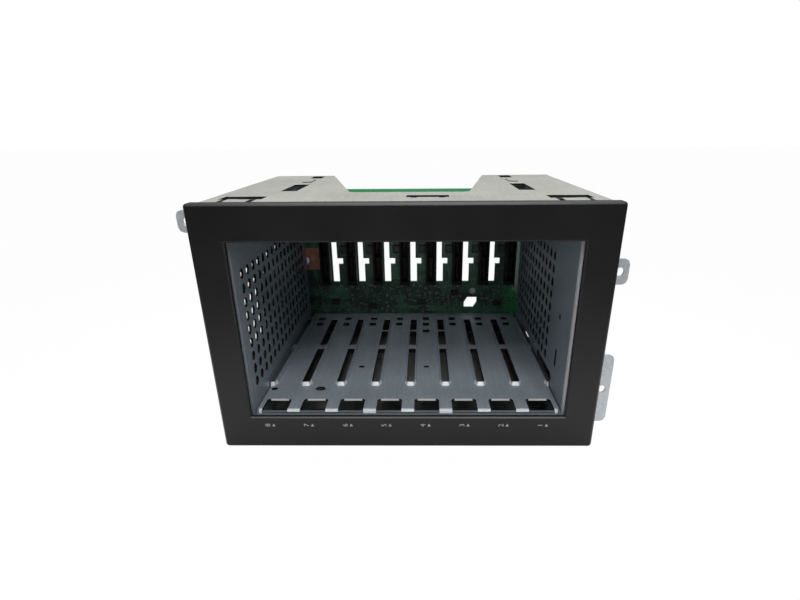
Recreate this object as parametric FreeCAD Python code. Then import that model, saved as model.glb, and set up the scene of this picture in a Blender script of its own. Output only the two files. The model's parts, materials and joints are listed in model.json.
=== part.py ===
"""Hot swap drive cage: a riveted sheet-steel box behind a moulded front frame,
with guide plates for upright 2.5 inch carriers and a backplane board at the rear.

Drawing frame: X to the right, Y from the front face into the cage, Z up from the underside.
Each piece is drawn from the front face, and save_part() moves it so that the row's origin
lies in the middle of the underside."""
import FreeCAD, Part
import os
from math import cos, pi, sin

os.makedirs("parts", exist_ok=True)
V = FreeCAD.Vector

# ---------------------------------------------------------------- driving sizes (mm)
# Bays
BAY_COUNT = 8
BAY_PITCH = 17.0            # width of one upright carrier
BAY_HEIGHT = 74.5           # height of the mouth for the carriers
CAGE_LENGTH = 142.6         # from the back of the front frame to the board

# Front frame, a moulded shell
SIDE_BAR = 13.25
LOWER_BAR = 14.9
UPPER_BAR = 14.1
FRAME_DEPTH = 5.0
FRAME_FACE = 2.2            # wall of the front face
FRAME_RIM = 2.0             # wall of the outer rim
FRAME_CORNER = 1.4
FRAME_EDGE = 0.9            # bevel round the front
MOUTH_CHAMFER = 0.6
RIB = 1.2
RIB_SETBACK = 0.6           # ribs stop short of the rim's rear edge
RIB_MOUTH_GAP = 1.5         # and of the mouth
FRAME_OVERHANG = 1.5        # the frame stands out past the cage on each side

# Sheet metal
SHEET = 1.0
BEND = 1.5                  # outside radius of a bend
SKIRT = 11.0                # legs of the top and bottom sheets
TOP_STEP = 0.5              # the top sheet lies this far below the frame's top
TOP_SETBACK = 14.1          # the top sheet stops short of the board
WALL_FOOT = 4.5             # feet of the inner walls
WALL_FRONT_FLANGE = 8.0
WALL_REAR_GAP = 7.6         # from the inner walls' rear edge to the board
PANEL_FRONT_GAP = 1.5       # from the back of the frame to the outer panels

# Guide plates
FLOOR_STEP = 0.2            # the floor lies this far above the mouth's lower edge
GUIDE_SKIRT = 8.0
GUIDE_LIP_GAP = 1.2         # from the back of the frame to the front lip
RAIL_WIDTH = 6.2
RAIL_HEIGHT = 1.6
RAIL_DRAFT = 0.7
RAIL_NOSE = 0.28            # flat of a rail's nose, as a share of its width
RAIL_OFFSET = 0.7           # rails lie this far right of the bay boundaries
RAIL_START = 33.0
RAIL_END = 129.5
RAIL_SLOT = 3.9
RAIL_SLOT_START = 35.0
RAIL_BRIDGES = ((82.0, 85.4), (105.4, 107.6))
RELEASE_WIDTH = 11.3        # notch at the mouth, one for each carrier's catch
RELEASE_REAR = 17.5
RELEASE_ROUND = 1.5
RELEASE_DROP = 1.0          # how far the notch runs down the front lip
REAR_LIP = 3.0              # the ceiling's short rear lip leaves the board's top edge in view
KEY_HOLE = (4.0, 5.2)       # pairs of small windows near the board
KEY_HOLE_ROWS = (123.3, 134.0)
EXTRA_KEY_HOLE = (5, 110.1)         # bay and y of one more window
TOOLING_HOLE_R = 1.6
TOOLING_HOLE_Y = 28.3
TOOLING_HOLE_INSET = 3.3    # from the left wall
LOCATING_HOLES = ((2, 28.3, 2.4), (3, 54.9, 1.5), (5, 54.9, 1.5))      # bay, y and radius

# Vent pattern of the inner walls
VENT_R = 2.2
VENT_PITCH_Y = 8.1
VENT_PITCH_Z = 6.05
VENT_FIRST_Y = 15.1
VENT_FIRST_Z = 25.7
VENT_ROWS = 9
VENT_SIDES = 4
LEFT_VENT_COLUMNS = 15
RIGHT_PLAIN_COLUMNS = 4     # the right wall starts its pattern this many columns later

# Index slot and pilot hole in the front of the right wall
INDEX_SLOT = (25.6, 28.4, 27.0, 36.0)       # y0, y1, z0, z1
INDEX_ROUND = 1.2
PILOT_HOLE = (26.6, 51.4)
PILOT_R = 1.4
FOOT_SLOT = (90.0, 112.0, 16.0, 18.4)       # low slot beside the last rail

# Windows of the outer panels: y0, y1, z0, z1
LEFT_WINDOW = (42.0, 71.0, 31.0, 61.0)
RIGHT_WINDOW = (92.0, 132.0, 24.0, 54.0)
WINDOW_ROUND = 3.0
# Rows of level slots in them: z of the lower edge, height, first y
LOUVRE_ROWS = ((65.5, 2.6, 42.0), (57.8, 2.0, 74.0))
LOUVRE_COUNTS = (5, 3)
LOUVRE_PITCH = 18.5
LOUVRE_WEB = 2.5

# Corner relief of the bottom sheet, rear right
CORNER_RELIEF = (6.15, 11.2)        # from the sheet's side and from the board's rear face

# Top sheet cut-outs
NOTCH_FRONT = 42.0
NOTCH_LEFT = (25.0, 45.1)   # half widths at the front and at the rear
NOTCH_RIGHT = (26.9, 41.1)
NOTCH_ROUND = 4.0
WING_FLANGE = 8.0           # the wings' rear edges are bent down by this much
WING_FLANGE_END = 1.2       # from the bay wall
CATCH_X = 65.4              # side catches, from the middle
CATCH_WIDTH = 17.2
CATCH_ARMS = 13.6           # width over the two cuts beside the tongue
CATCH_TONGUE = 8.8
CATCH_SIDE = (8.0, 17.4, 27.6)      # y where the cuts start, of the tongue's end and of the rear edge
CATCH_MIDDLE = (19.6, 22.4, 29.6)
MID_CATCH_X = 8.8
WING_SLOT_X = 53.0
WING_SLOTS = ((47.9, 79.3, 7.2), (115.6, 130.0, 6.4))     # y0, y1, width
WING_TAB = (89.0, 105.6)
WING_TAB_WIDTH = 4.6
WING_TAB_HEIGHT = 0.45
WING_TAB_ROUND = 1.4

# Snap hooks of the frame
HOOK_WIDTH = 6.0
HOOK_THICK = 1.6
HOOK_GAP = 0.5              # from the arm to the sheet
HOOK_NOSE = 2.0
HOOK_RAMP = 0.5
HOOK_RISE = 0.6             # how far the nose fills the sheet's thickness, as a share
HOOK_CLEAR = 0.3            # from the nose to the tongue
HOOK_INSET = 4.6            # from the inner wall to the middle of a side hook

# Backplane board
BOARD_THICK = 1.6
BOARD_SIDE_GAP = 1.75       # from the outer panels' outside to the board's edge
BOARD_BOTTOM = 1.2
BOARD_RISE = 4.8            # the board stands this far above the mouth
BOARD_CORNER = 1.5
AIR_SLOT_OFFSET = 0.5
AIR_SLOT_LOW = 36.5
AIR_SLOT_STEP = 51.8        # height of the step
AIR_SLOT_HEAD = 9.4         # from the slots' upper end to the mouth's top
AIR_SLOT_WIDE = 4.1
AIR_SLOT_NARROW = 3.3
AIR_NOTCH = (2.9, 3.7)
KEY_PORT = (38.2, 22.3)     # six-sided see-through hole: x, z
KEY_PORT_SIZE = (8.4, 6.9)
FLANGE_LEFT = 4.25          # rear flanges that carry the board
FLANGE_RIGHT = 9.25
FLANGE_TAB = 12.0           # height of a screw tab

# Connectors on the board
DRIVE_PLUG_OFFSET = 3.2
DRIVE_PLUG = (6.1, 8.0, 42.6)
DRIVE_PLUG_LOW = 36.0
DRIVE_PLUG_WALL = 1.2
DRIVE_PLUG_POCKET = 5.6
DRIVE_PLUG_TONGUE = 1.3
DRIVE_PLUG_TONGUE_IN = 0.8  # from the socket's mouth to its tongue
DRIVE_PLUG_SPLIT = 0.42     # where the tongue's key gap lies, as a share of the height
DRIVE_PLUG_KEY_GAP = 3.0
LED_BLOCK = (3.6, 1.2, 3.6)
LED_OFFSET = 4.7
LED_Z = 57.8
DATA_PORT = (24.0, 11.6, 10.4)
DATA_PORT_INSET = 21.0      # from the board's side to the middle of a port
DATA_PORT_Z = 27.0
DATA_PORT_WALL = 1.0
POWER_PLUG = (23.0, 12.8, 10.0)
POWER_PLUG_Z = 16.0
POWER_PINS = 5
POWER_PIN_PITCH = 4.2
POWER_PIN_HOLE = 3.2
POWER_LATCH = 1.6
CHIP_SIZE = 11.0
CHIP_THICK = 1.4
CHIP_X = -22.0
CHIP_Z = 23.5
CAPACITOR_R = 3.15
CAPACITOR_HEIGHT = 5.8
CAPACITOR_X = (-38.2, 18.4, 28.0)
CAPACITOR_Z = 28.0

# Ground contact, front left
GROUND_PAD = (14.0, 0.3, 13.9)
GROUND_PAD_OUT = 6.0        # the pad's left edge and the screw, out from the bays' left side
GROUND_PAD_LOW = 44.6
GROUND_PAD_SHARE = 0.42     # height of the screw in the pad
GROUND_SCREW_OUT = 2.7
GROUND_SCREW_R = 1.5
GROUND_HEAD_R = 3.9
GROUND_HEAD = 1.6
GROUND_REACH = 3.0          # of the screw's end past the board
NUT_R = 3.1
NUT_THICK = 2.4

# Fasteners
SCREW_R = 1.5
SCREW_HEAD_R = 2.8
SCREW_HEAD = 1.9
SCREW_REACH = 1.4           # past the sheet
HEAD_TOP = 0.6              # a head's top, as a share of its seat
SCREW_HIGH_INSET = 8.2      # from the board's top edge
SCREW_LOW_INSET = 12.8      # from the board's bottom edge
FLOOR_SCREW_X = 34.0
RIVET_R = 1.2
RIVET_HEAD_R = 2.2
RIVET_HEAD = 0.8
RIVET_TAIL = 0.9
HOLE_CLEAR = 0.08           # between a shank and its hole
PIN_SIDES = 8
HEAD_SIDES = 12
SIDE_RIVET_Y = (36.0, 118.0)

# Mounting ears
EAR_SHEET = 1.2
EAR_SETBACK = 5.0           # from the back of the frame to the ears
EAR_ROUND = 2.2
EAR_HOLE_R = 1.7
EAR_FOOT = 13.0
EAR_RIVET_SHARE = 0.62      # where the rivets stand on the foot
EAR_RIVET_SINGLE = 16.0     # a foot lower than this has one rivet
SKIRT_GAP = 0.3             # from an ear to the skirt of the bottom sheet
# Each ear: lower edge above the underside (below the cage's top where negative), height,
# reach past the side, hole from the tip
LEFT_EAR = (-11.5, 8.6, 8.8, 4.0)
RIGHT_UPPER_EAR = (-32.6, 10.4, 9.3, 3.6)
RIGHT_LOWER_EAR = (7.6, 32.1, 9.3, 3.6)

# ---------------------------------------------------------------- worked-out sizes
MOUTH_HALF = BAY_COUNT * BAY_PITCH / 2
MOUTH_TOP = LOWER_BAR + BAY_HEIGHT
FRAME_HALF = MOUTH_HALF + SIDE_BAR
FRAME_HEIGHT = MOUTH_TOP + UPPER_BAR
CAGE_HALF = FRAME_HALF - FRAME_OVERHANG
CAGE_TOP = FRAME_HEIGHT - TOP_STEP
BOARD_Y = FRAME_DEPTH + CAGE_LENGTH
BOARD_BACK = BOARD_Y + BOARD_THICK
BOARD_TOP = MOUTH_TOP + BOARD_RISE
TOP_REAR = BOARD_Y - TOP_SETBACK
FLANGE_Y = BOARD_Y - SHEET
PANEL_OUT = CAGE_HALF - SHEET
PANEL_IN = PANEL_OUT - SHEET
BOARD_HALF_WIDTH = PANEL_OUT - BOARD_SIDE_GAP
WALL_OUT = MOUTH_HALF + SHEET
WALL_REAR = BOARD_Y - WALL_REAR_GAP
FLOOR_TOP = LOWER_BAR + FLOOR_STEP
BAY_MIDDLE = LOWER_BAR + BAY_HEIGHT / 2
LIP_Y = FRAME_DEPTH + GUIDE_LIP_GAP
GROUND_PAD_LEFT = -MOUTH_HALF - GROUND_PAD_OUT
GROUND_SCREW_X = -MOUTH_HALF - GROUND_SCREW_OUT
DATA_PORT_X = BOARD_HALF_WIDTH - DATA_PORT_INSET
RIVET_LOW = SHEET + SKIRT / 2
RIVET_HIGH = CAGE_TOP - RIVET_LOW
HOOK_X = MOUTH_HALF - HOOK_INSET
SCREW_LOW = BOARD_BOTTOM + SCREW_LOW_INSET
SCREW_HIGH = BOARD_TOP - SCREW_HIGH_INSET
SCREW_X = PANEL_OUT - FLANGE_RIGHT / 2
FLOOR_SCREW_Z = FLOOR_TOP - SHEET - GUIDE_SKIRT / 2
EAR_Y = FRAME_DEPTH + EAR_SETBACK
EAR_RIVET_Y = EAR_Y + EAR_FOOT * EAR_RIVET_SHARE


# ---------------------------------------------------------------- small shapes
def box(x0, x1, y0, y1, z0, z1):
    return Part.makeBox(x1 - x0, y1 - y0, z1 - z0, V(x0, y0, z0))


def rod(radius, length, start, direction):
    return Part.makeCylinder(radius, length, start, direction)


def ring_points(radius, centre, direction, sides):
    """Corners of an even-sided ring round centre, in the plane across a row axis."""
    across = V(0, 0, 1) if abs(direction.z) < 0.5 else V(1, 0, 0)
    along = direction.cross(across)
    points = []
    for step in range(sides):
        angle = 2 * pi * (step + 0.5) / sides
        points.append(centre + across * (radius * cos(angle)) + along * (radius * sin(angle)))
    return points


def pin(radius, length, start, direction, sides=PIN_SIDES):
    """Small pin or pin hole, drawn with flats to stay light."""
    return prism(ring_points(radius, start, direction, sides), direction * length)


def tapered(lower, upper):
    """Solid between two flat outlines with as many corners, joined by flat sides."""
    faces = [Part.Face(Part.makePolygon(ring + [ring[0]])) for ring in (lower, upper)]
    for index in range(len(lower)):
        side = [lower[index - 1], lower[index], upper[index], upper[index - 1]]
        faces.append(Part.Face(Part.makePolygon(side + [side[0]])))
    solid = Part.makeSolid(Part.makeShell(faces))
    if solid.Volume < 0:
        solid.reverse()
    return solid


def pin_head(base_radius, top_radius, length, start, direction, sides=PIN_SIDES):
    """Tapered head that narrows from its seat to its top."""
    lower = ring_points(base_radius, start, direction, sides)
    upper = ring_points(top_radius, start + direction * length, direction, sides)
    return tapered(lower, upper)


def prism(points, sweep):
    """Solid swept from a closed outline."""
    outline = Part.makePolygon(points + [points[0]])
    return Part.Face(outline).extrude(sweep)


def rounded_outline(points, radii, light=False):
    """Closed wire through corner points, each rounded by its own radius (0 keeps it sharp).

    A light outline turns each round corner in two straight steps."""
    edges = []
    ends = []
    count = len(points)
    for index, corner in enumerate(points):
        to_last = (points[index - 1] - corner).normalize()
        to_next = (points[(index + 1) % count] - corner).normalize()
        radius = radii[index]
        half_angle = to_last.getAngle(to_next) / 2
        reach = radius * cos(half_angle) / sin(half_angle)
        first = corner + to_last * reach
        last = corner + to_next * reach
        if radius > 0:
            inward = (to_last + to_next).normalize()
            middle = corner + inward * (radius / sin(half_angle) - radius)
            if light:
                edges.append([Part.LineSegment(*pair).toShape() for pair in ((first, middle), (middle, last))])
            else:
                edges.append([Part.Arc(first, middle, last).toShape()])
        ends.append((first, last))
    loop = []
    arcs = iter(edges)
    for index in range(count):
        if radii[index] > 0:
            loop += next(arcs)
        leave = ends[index][1]
        arrive = ends[(index + 1) % count][0]
        loop.append(Part.LineSegment(leave, arrive).toShape())
    return Part.Wire(loop)


def rounded_prism(points, radii, sweep, light=False):
    return Part.Face(rounded_outline(points, radii, light)).extrude(sweep)


def rounded_block(x0, x1, z0, z1, y0, y1, radius):
    """Block along Y whose four long edges are rounded."""
    corners = [V(x0, y0, z0), V(x1, y0, z0), V(x1, y0, z1), V(x0, y0, z1)]
    return rounded_prism(corners, [radius] * 4, V(0, y1 - y0, 0))


def bent_sheet(path, widths, start, sweep, light=False):
    """Sheet of one thickness folded along a path of corner points, swept sideways.

    path lists the outer corners; widths gives the side of each run on which the sheet lies."""
    inner = [point + offset for point, offset in zip(path, widths)]
    outline = path + inner[::-1]
    last = len(path) - 1
    radii = []
    for index in range(len(path)):
        radii.append(BEND if 0 < index < last else 0)
    inner_radius = BEND - SHEET
    for index in range(last, -1, -1):
        radii.append(inner_radius if 0 < index < last else 0)
    outline = [point + start for point in outline]
    return rounded_prism(outline, radii, sweep, light)


def fuse_all(shapes):
    return shapes[0].multiFuse(shapes[1:]).removeSplitter()


def cut_all(shape, tools):
    return shape.cut(Part.makeCompound(tools))


def mirrored(shape):
    """The same piece on the other side of the cage."""
    return shape.mirror(V(0, 0, 0), V(1, 0, 0))


def bay_boundaries():
    return [BAY_PITCH * step - MOUTH_HALF for step in range(BAY_COUNT + 1)]


def bay_centres():
    return [BAY_PITCH * (step + 0.5) - MOUTH_HALF for step in range(BAY_COUNT)]


def save_part(name, shape):
    moved = shape.copy()
    moved.translate(V(0, -BOARD_Y / 2, 0))
    moved.exportStep(os.path.join("parts", name + ".step"))


# ---------------------------------------------------------------- front frame
def snap_hook(x, tongue_end, upward):
    """Arm that reaches back under a sheet, with a ramped nose that snaps in behind the sheet's tongue."""
    nose = tongue_end + HOOK_CLEAR
    reach = nose + HOOK_NOSE
    sheet_face = CAGE_TOP - SHEET
    high = sheet_face - HOOK_GAP
    low = high - HOOK_THICK
    nose_top = sheet_face + SHEET * HOOK_RISE
    profile = [
        V(0, FRAME_FACE, low),
        V(0, reach, low),
        V(0, reach, high),
        V(0, reach - HOOK_RAMP, nose_top),
        V(0, nose, nose_top),
        V(0, nose, high),
        V(0, FRAME_FACE, high),
    ]
    hook = prism(profile, V(HOOK_WIDTH, 0, 0))
    hook.translate(V(x - HOOK_WIDTH / 2, 0, 0))
    if not upward:
        hook = hook.mirror(V(0, 0, CAGE_TOP / 2), V(0, 0, 1))
    return hook


def frame_ribs():
    rear = FRAME_DEPTH - RIB_SETBACK
    ribs = []
    for x in bay_boundaries():
        left = x - RIB / 2
        right = x + RIB / 2
        ribs.append(box(left, right, FRAME_FACE, rear, FRAME_RIM, LOWER_BAR - RIB_MOUTH_GAP))
        ribs.append(box(left, right, FRAME_FACE, rear, MOUTH_TOP + RIB_MOUTH_GAP, FRAME_HEIGHT - FRAME_RIM))
    for share in (0.25, 0.5, 0.75):
        z = LOWER_BAR + BAY_HEIGHT * share
        rib = box(MOUTH_HALF + RIB_MOUTH_GAP, FRAME_HALF - FRAME_RIM, FRAME_FACE, rear, z - RIB / 2, z + RIB / 2)
        ribs.append(rib)
        ribs.append(mirrored(rib))
    return ribs


def bezel_frame():
    outer = rounded_block(-FRAME_HALF, FRAME_HALF, 0, FRAME_HEIGHT, 0, FRAME_DEPTH, FRAME_CORNER)
    front = min(outer.Faces, key=lambda face: face.CenterOfMass.y)
    outer = outer.makeChamfer(FRAME_EDGE, front.OuterWire.Edges)
    mouth = box(-MOUTH_HALF, MOUTH_HALF, -1, FRAME_DEPTH + 1, LOWER_BAR, MOUTH_TOP)
    pocket = box(-FRAME_HALF + FRAME_RIM, FRAME_HALF - FRAME_RIM, FRAME_FACE, FRAME_DEPTH + 1,
                 FRAME_RIM, FRAME_HEIGHT - FRAME_RIM)
    hooks = []
    for x, stations in catches():
        within = max(-HOOK_X, min(HOOK_X, x))
        hooks.append(snap_hook(within, stations[1], True))
        hooks.append(snap_hook(within, stations[1], False))
    shell = fuse_all([outer.cut(pocket)] + frame_ribs() + hooks)
    flare = mouth_bevel(MOUTH_CHAMFER)
    return cut_all(shell, [mouth, flare])


def mouth_bevel(chamfer):
    """Tapered block that bevels the front edge of the mouth."""
    sections = []
    for y, grow in ((0, chamfer), (chamfer, 0)):
        x = MOUTH_HALF + grow
        low = LOWER_BAR - grow
        high = MOUTH_TOP + grow
        corners = [V(-x, y, low), V(x, y, low), V(x, y, high), V(-x, y, high)]
        sections.append(corners)
    return tapered(sections[0], sections[1])


# ---------------------------------------------------------------- outer sheets
def folded_tray(rear):
    """Level sheet with a leg bent up along each side."""
    path = [V(-CAGE_HALF, 0, SKIRT), V(-CAGE_HALF, 0, 0), V(CAGE_HALF, 0, 0), V(CAGE_HALF, 0, SKIRT)]
    sides = [V(SHEET, 0, 0), V(SHEET, 0, SHEET), V(-SHEET, 0, SHEET), V(-SHEET, 0, 0)]
    return bent_sheet(path, sides, V(0, FRAME_DEPTH, 0), V(0, rear - FRAME_DEPTH, 0))


def catches():
    """The three snap catches: x of each and its stations along Y."""
    return ((-CATCH_X, CATCH_SIDE), (MID_CATCH_X, CATCH_MIDDLE), (CATCH_X, CATCH_SIDE))


def catch_slot(x, stations, z0, z1):
    """Wide window behind a spring tongue, with a narrow cut on each side of the tongue."""
    start, tongue_end, rear = stations
    window = box(x - CATCH_WIDTH / 2, x + CATCH_WIDTH / 2, tongue_end, rear, z0, z1)
    arms = box(x - CATCH_ARMS / 2, x + CATCH_ARMS / 2, start, tongue_end, z0, z1)
    tongue = box(x - CATCH_TONGUE / 2, x + CATCH_TONGUE / 2, start, tongue_end, z0, z1)
    return window.fuse(arms.cut(tongue))


def side_rivet_holes(z):
    length = 2 * CAGE_HALF + 2
    return [pin(RIVET_R + HOLE_CLEAR, length, V(-CAGE_HALF - 1, y, z), V(1, 0, 0)) for y in SIDE_RIVET_Y]


def bottom_panel():
    tray = folded_tray(BOARD_BACK)
    cuts = side_rivet_holes(RIVET_LOW)
    for x, stations in catches():
        cuts.append(catch_slot(x, stations, -1, SHEET + 1))
    width, depth = CORNER_RELIEF
    cuts.append(box(CAGE_HALF - width, CAGE_HALF - BEND, BOARD_BACK - depth, BOARD_BACK + 1, -1, SHEET + 1))
    return cut_all(tray, cuts)


def top_notch(z0, z1):
    """Wide notch in the top sheet's rear edge that flares towards the board."""
    corners = [
        V(-NOTCH_LEFT[0], NOTCH_FRONT, z0),
        V(NOTCH_RIGHT[0], NOTCH_FRONT, z0),
        V(NOTCH_RIGHT[1], TOP_REAR, z0),
        V(NOTCH_RIGHT[1], BOARD_Y, z0),
        V(-NOTCH_LEFT[1], BOARD_Y, z0),
        V(-NOTCH_LEFT[1], TOP_REAR, z0),
    ]
    return rounded_prism(corners, [NOTCH_ROUND, NOTCH_ROUND, 0, 0, 0, 0], V(0, 0, z1 - z0))


def wing_tab(x):
    """Low embossed land between the two slots of a wing."""
    y0, y1 = WING_TAB
    half = WING_TAB_WIDTH / 2
    low = CAGE_TOP - SHEET / 2
    corners = [V(x - half, y0, low), V(x + half, y0, low), V(x + half, y1, low), V(x - half, y1, low)]
    return rounded_prism(corners, [WING_TAB_ROUND] * 4, V(0, 0, SHEET / 2 + WING_TAB_HEIGHT), True)


def wing_flanges():
    """Rear edges of the two wings, bent down between the notch and the bay walls."""
    outer = MOUTH_HALF - WING_FLANGE_END
    flanges = []
    for x0, x1 in ((-outer, -NOTCH_LEFT[1]), (NOTCH_RIGHT[1], outer)):
        flanges.append(box(x0, x1, TOP_REAR - SHEET, TOP_REAR, CAGE_TOP - WING_FLANGE, CAGE_TOP - SHEET / 2))
    return flanges


def top_plate():
    tray = folded_tray(TOP_REAR).mirror(V(0, 0, CAGE_TOP / 2), V(0, 0, 1))
    below = CAGE_TOP - SHEET - 1
    above = CAGE_TOP + 1
    cuts = [top_notch(below, above)]
    cuts += side_rivet_holes(RIVET_HIGH)
    for x, stations in catches():
        cuts.append(catch_slot(x, stations, below, above))
    lands = []
    for x in (-WING_SLOT_X, WING_SLOT_X):
        for y0, y1, width in WING_SLOTS:
            cuts.append(box(x - width / 2, x + width / 2, y0, y1, below, above))
        lands.append(wing_tab(x))
    return fuse_all([cut_all(tray, cuts)] + lands + wing_flanges())


def window_cut(window):
    y0, y1, z0, z1 = window
    corners = [V(-CAGE_HALF, y0, z0), V(-CAGE_HALF, y1, z0), V(-CAGE_HALF, y1, z1), V(-CAGE_HALF, y0, z1)]
    return rounded_prism(corners, [WINDOW_ROUND] * 4, V(SHEET * 3, 0, 0), True)


def louvre_cuts():
    """Rows of narrow level slots above and behind the window."""
    cuts = []
    for (low, height, start), count in zip(LOUVRE_ROWS, LOUVRE_COUNTS):
        for index in range(count):
            y0 = start + LOUVRE_PITCH * index
            y1 = y0 + LOUVRE_PITCH - LOUVRE_WEB
            cuts.append(box(-CAGE_HALF, -PANEL_IN + 1, y0, y1, low, low + height))
    return cuts


def outer_panel(window, flange, tabs):
    """Left-hand side sheet with a rear flange for the board; the right one is its mirror."""
    low = BEND
    high = CAGE_TOP - BEND
    path = [
        V(-PANEL_OUT, FRAME_DEPTH + PANEL_FRONT_GAP, 0),
        V(-PANEL_OUT, BOARD_Y, 0),
        V(-PANEL_OUT + flange, BOARD_Y, 0),
    ]
    sides = [V(SHEET, 0, 0), V(SHEET, -SHEET, 0), V(0, -SHEET, 0)]
    panel = bent_sheet(path, sides, V(0, 0, low), V(0, 0, high - low), True)
    if tabs:
        lugs = []
        for z in (SCREW_LOW, SCREW_HIGH):
            lugs.append(box(-PANEL_OUT + flange / 2, -PANEL_OUT + FLANGE_RIGHT, FLANGE_Y, BOARD_Y,
                            z - FLANGE_TAB / 2, z + FLANGE_TAB / 2))
        panel = fuse_all([panel] + lugs)
    cuts = [window_cut(window)] + louvre_cuts()
    cuts += side_rivet_holes(RIVET_LOW) + side_rivet_holes(RIVET_HIGH)
    for z in (SCREW_LOW, SCREW_HIGH):
        cuts.append(pin(SCREW_R + HOLE_CLEAR, 4 * SHEET, V(-SCREW_X, BOARD_Y - 2 * SHEET, z), V(0, 1, 0)))
    return cut_all(panel, cuts)


# ---------------------------------------------------------------- inner walls
def vent_holes(columns, first_y):
    """Grid of vent holes through the left inner wall, each drawn with four flats."""
    holes = []
    for column in range(columns):
        for row in range(VENT_ROWS):
            y = first_y + VENT_PITCH_Y * column
            z = VENT_FIRST_Z + VENT_PITCH_Z * row
            holes.append(pin(VENT_R, SHEET + 2, V(-WALL_OUT - 1, y, z), V(1, 0, 0), VENT_SIDES))
    return holes


def inner_wall(columns, first_y, extra_cuts):
    """Left-hand bay wall: a web with feet above and below and a flange behind the frame."""
    low = SHEET
    high = CAGE_TOP - SHEET
    path = [V(-WALL_OUT - WALL_FOOT, 0, low), V(-MOUTH_HALF, 0, low),
            V(-MOUTH_HALF, 0, high), V(-WALL_OUT - WALL_FOOT, 0, high)]
    sides = [V(0, 0, SHEET), V(-SHEET, 0, SHEET), V(-SHEET, 0, -SHEET), V(0, 0, -SHEET)]
    web = bent_sheet(path, sides, V(0, FRAME_DEPTH, 0), V(0, WALL_REAR - FRAME_DEPTH, 0), True)
    flange = box(-WALL_OUT - WALL_FRONT_FLANGE, -WALL_OUT, FRAME_DEPTH, FRAME_DEPTH + SHEET,
                 low + 2 * BEND, high - 2 * BEND)
    wall = fuse_all([web, flange])
    return cut_all(wall, vent_holes(columns, first_y) + extra_cuts)


def right_wall_cuts():
    """Index slot and pilot hole in the plain front part of the right wall, and the low slot behind."""
    y0, y1, z0, z1 = INDEX_SLOT
    x = -WALL_OUT - 1
    through = V(SHEET + 2, 0, 0)
    corners = [V(x, y0, z0), V(x, y1, z0), V(x, y1, z1), V(x, y0, z1)]
    slot = rounded_prism(corners, [INDEX_ROUND] * 4, through, True)
    pilot = pin(PILOT_R, SHEET + 2, V(x, PILOT_HOLE[0], PILOT_HOLE[1]), V(1, 0, 0))
    y0, y1, z0, z1 = FOOT_SLOT
    return [slot, pilot, box(x, x + SHEET + 2, y0, y1, z0, z1)]


# ---------------------------------------------------------------- guide plates
def rail_shape(x, low, high):
    """Boss of a rail, drafted towards its top, with a pointed nose that leads a carrier in."""
    sections = []
    for z, inset in ((low, 0), (high, RAIL_DRAFT)):
        half = RAIL_WIDTH / 2 - inset
        nose = RAIL_START + 2 * inset
        rear = RAIL_END - inset
        tip = half * 2 * RAIL_NOSE
        corners = [V(x - tip, nose, z), V(x + tip, nose, z), V(x + half, nose + half, z),
                   V(x + half, rear, z), V(x - half, rear, z), V(x - half, nose + half, z)]
        sections.append(corners)
    return tapered(sections[0], sections[1])


def rail_slots(x, bridges):
    """Long slot along a rail, crossed by narrow bridges."""
    half = RAIL_SLOT / 2
    cuts = []
    start = RAIL_SLOT_START
    for bridge in bridges + ((RAIL_END - 2, 0),):
        cuts.append(box(x - half, x + half, start, bridge[0], FLOOR_TOP - 2 * SHEET, FLOOR_TOP + RAIL_HEIGHT + 1))
        start = bridge[1]
    return cuts


def rail_positions():
    return [x + RAIL_OFFSET for x in bay_boundaries()]


def release_notch(x):
    """Notch at the mouth that runs over the bend into the front lip."""
    half = RELEASE_WIDTH / 2
    low = FLOOR_TOP - SHEET - RELEASE_DROP
    corners = [V(x - half, FRAME_DEPTH, low), V(x + half, FRAME_DEPTH, low),
               V(x + half, RELEASE_REAR, low), V(x - half, RELEASE_REAR, low)]
    radii = [0, 0, RELEASE_ROUND, RELEASE_ROUND]
    return rounded_prism(corners, radii, V(0, 0, RELEASE_DROP + 2 * SHEET), True)


def guide_sheet():
    """Sheet with legs bent down at the sides, the front and the rear."""
    low = FLOOR_TOP - GUIDE_SKIRT
    path = [V(-MOUTH_HALF, 0, low), V(-MOUTH_HALF, 0, FLOOR_TOP),
            V(MOUTH_HALF, 0, FLOOR_TOP), V(MOUTH_HALF, 0, low)]
    sides = [V(SHEET, 0, 0), V(SHEET, 0, -SHEET), V(-SHEET, 0, -SHEET), V(-SHEET, 0, 0)]
    front = LIP_Y + BEND
    rear = WALL_REAR
    level = bent_sheet(path, sides, V(0, front, 0), V(0, rear - front, 0), True)
    lip_path = [V(0, LIP_Y, low), V(0, LIP_Y, FLOOR_TOP), V(0, BOARD_Y, FLOOR_TOP), V(0, BOARD_Y, low)]
    lip_sides = [V(0, SHEET, 0), V(0, SHEET, -SHEET), V(0, -SHEET, -SHEET), V(0, -SHEET, 0)]
    half = MOUTH_HALF - BEND
    lips = bent_sheet(lip_path, lip_sides, V(-half, 0, 0), V(2 * half, 0, 0), True)
    return fuse_all([level, lips])


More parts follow.
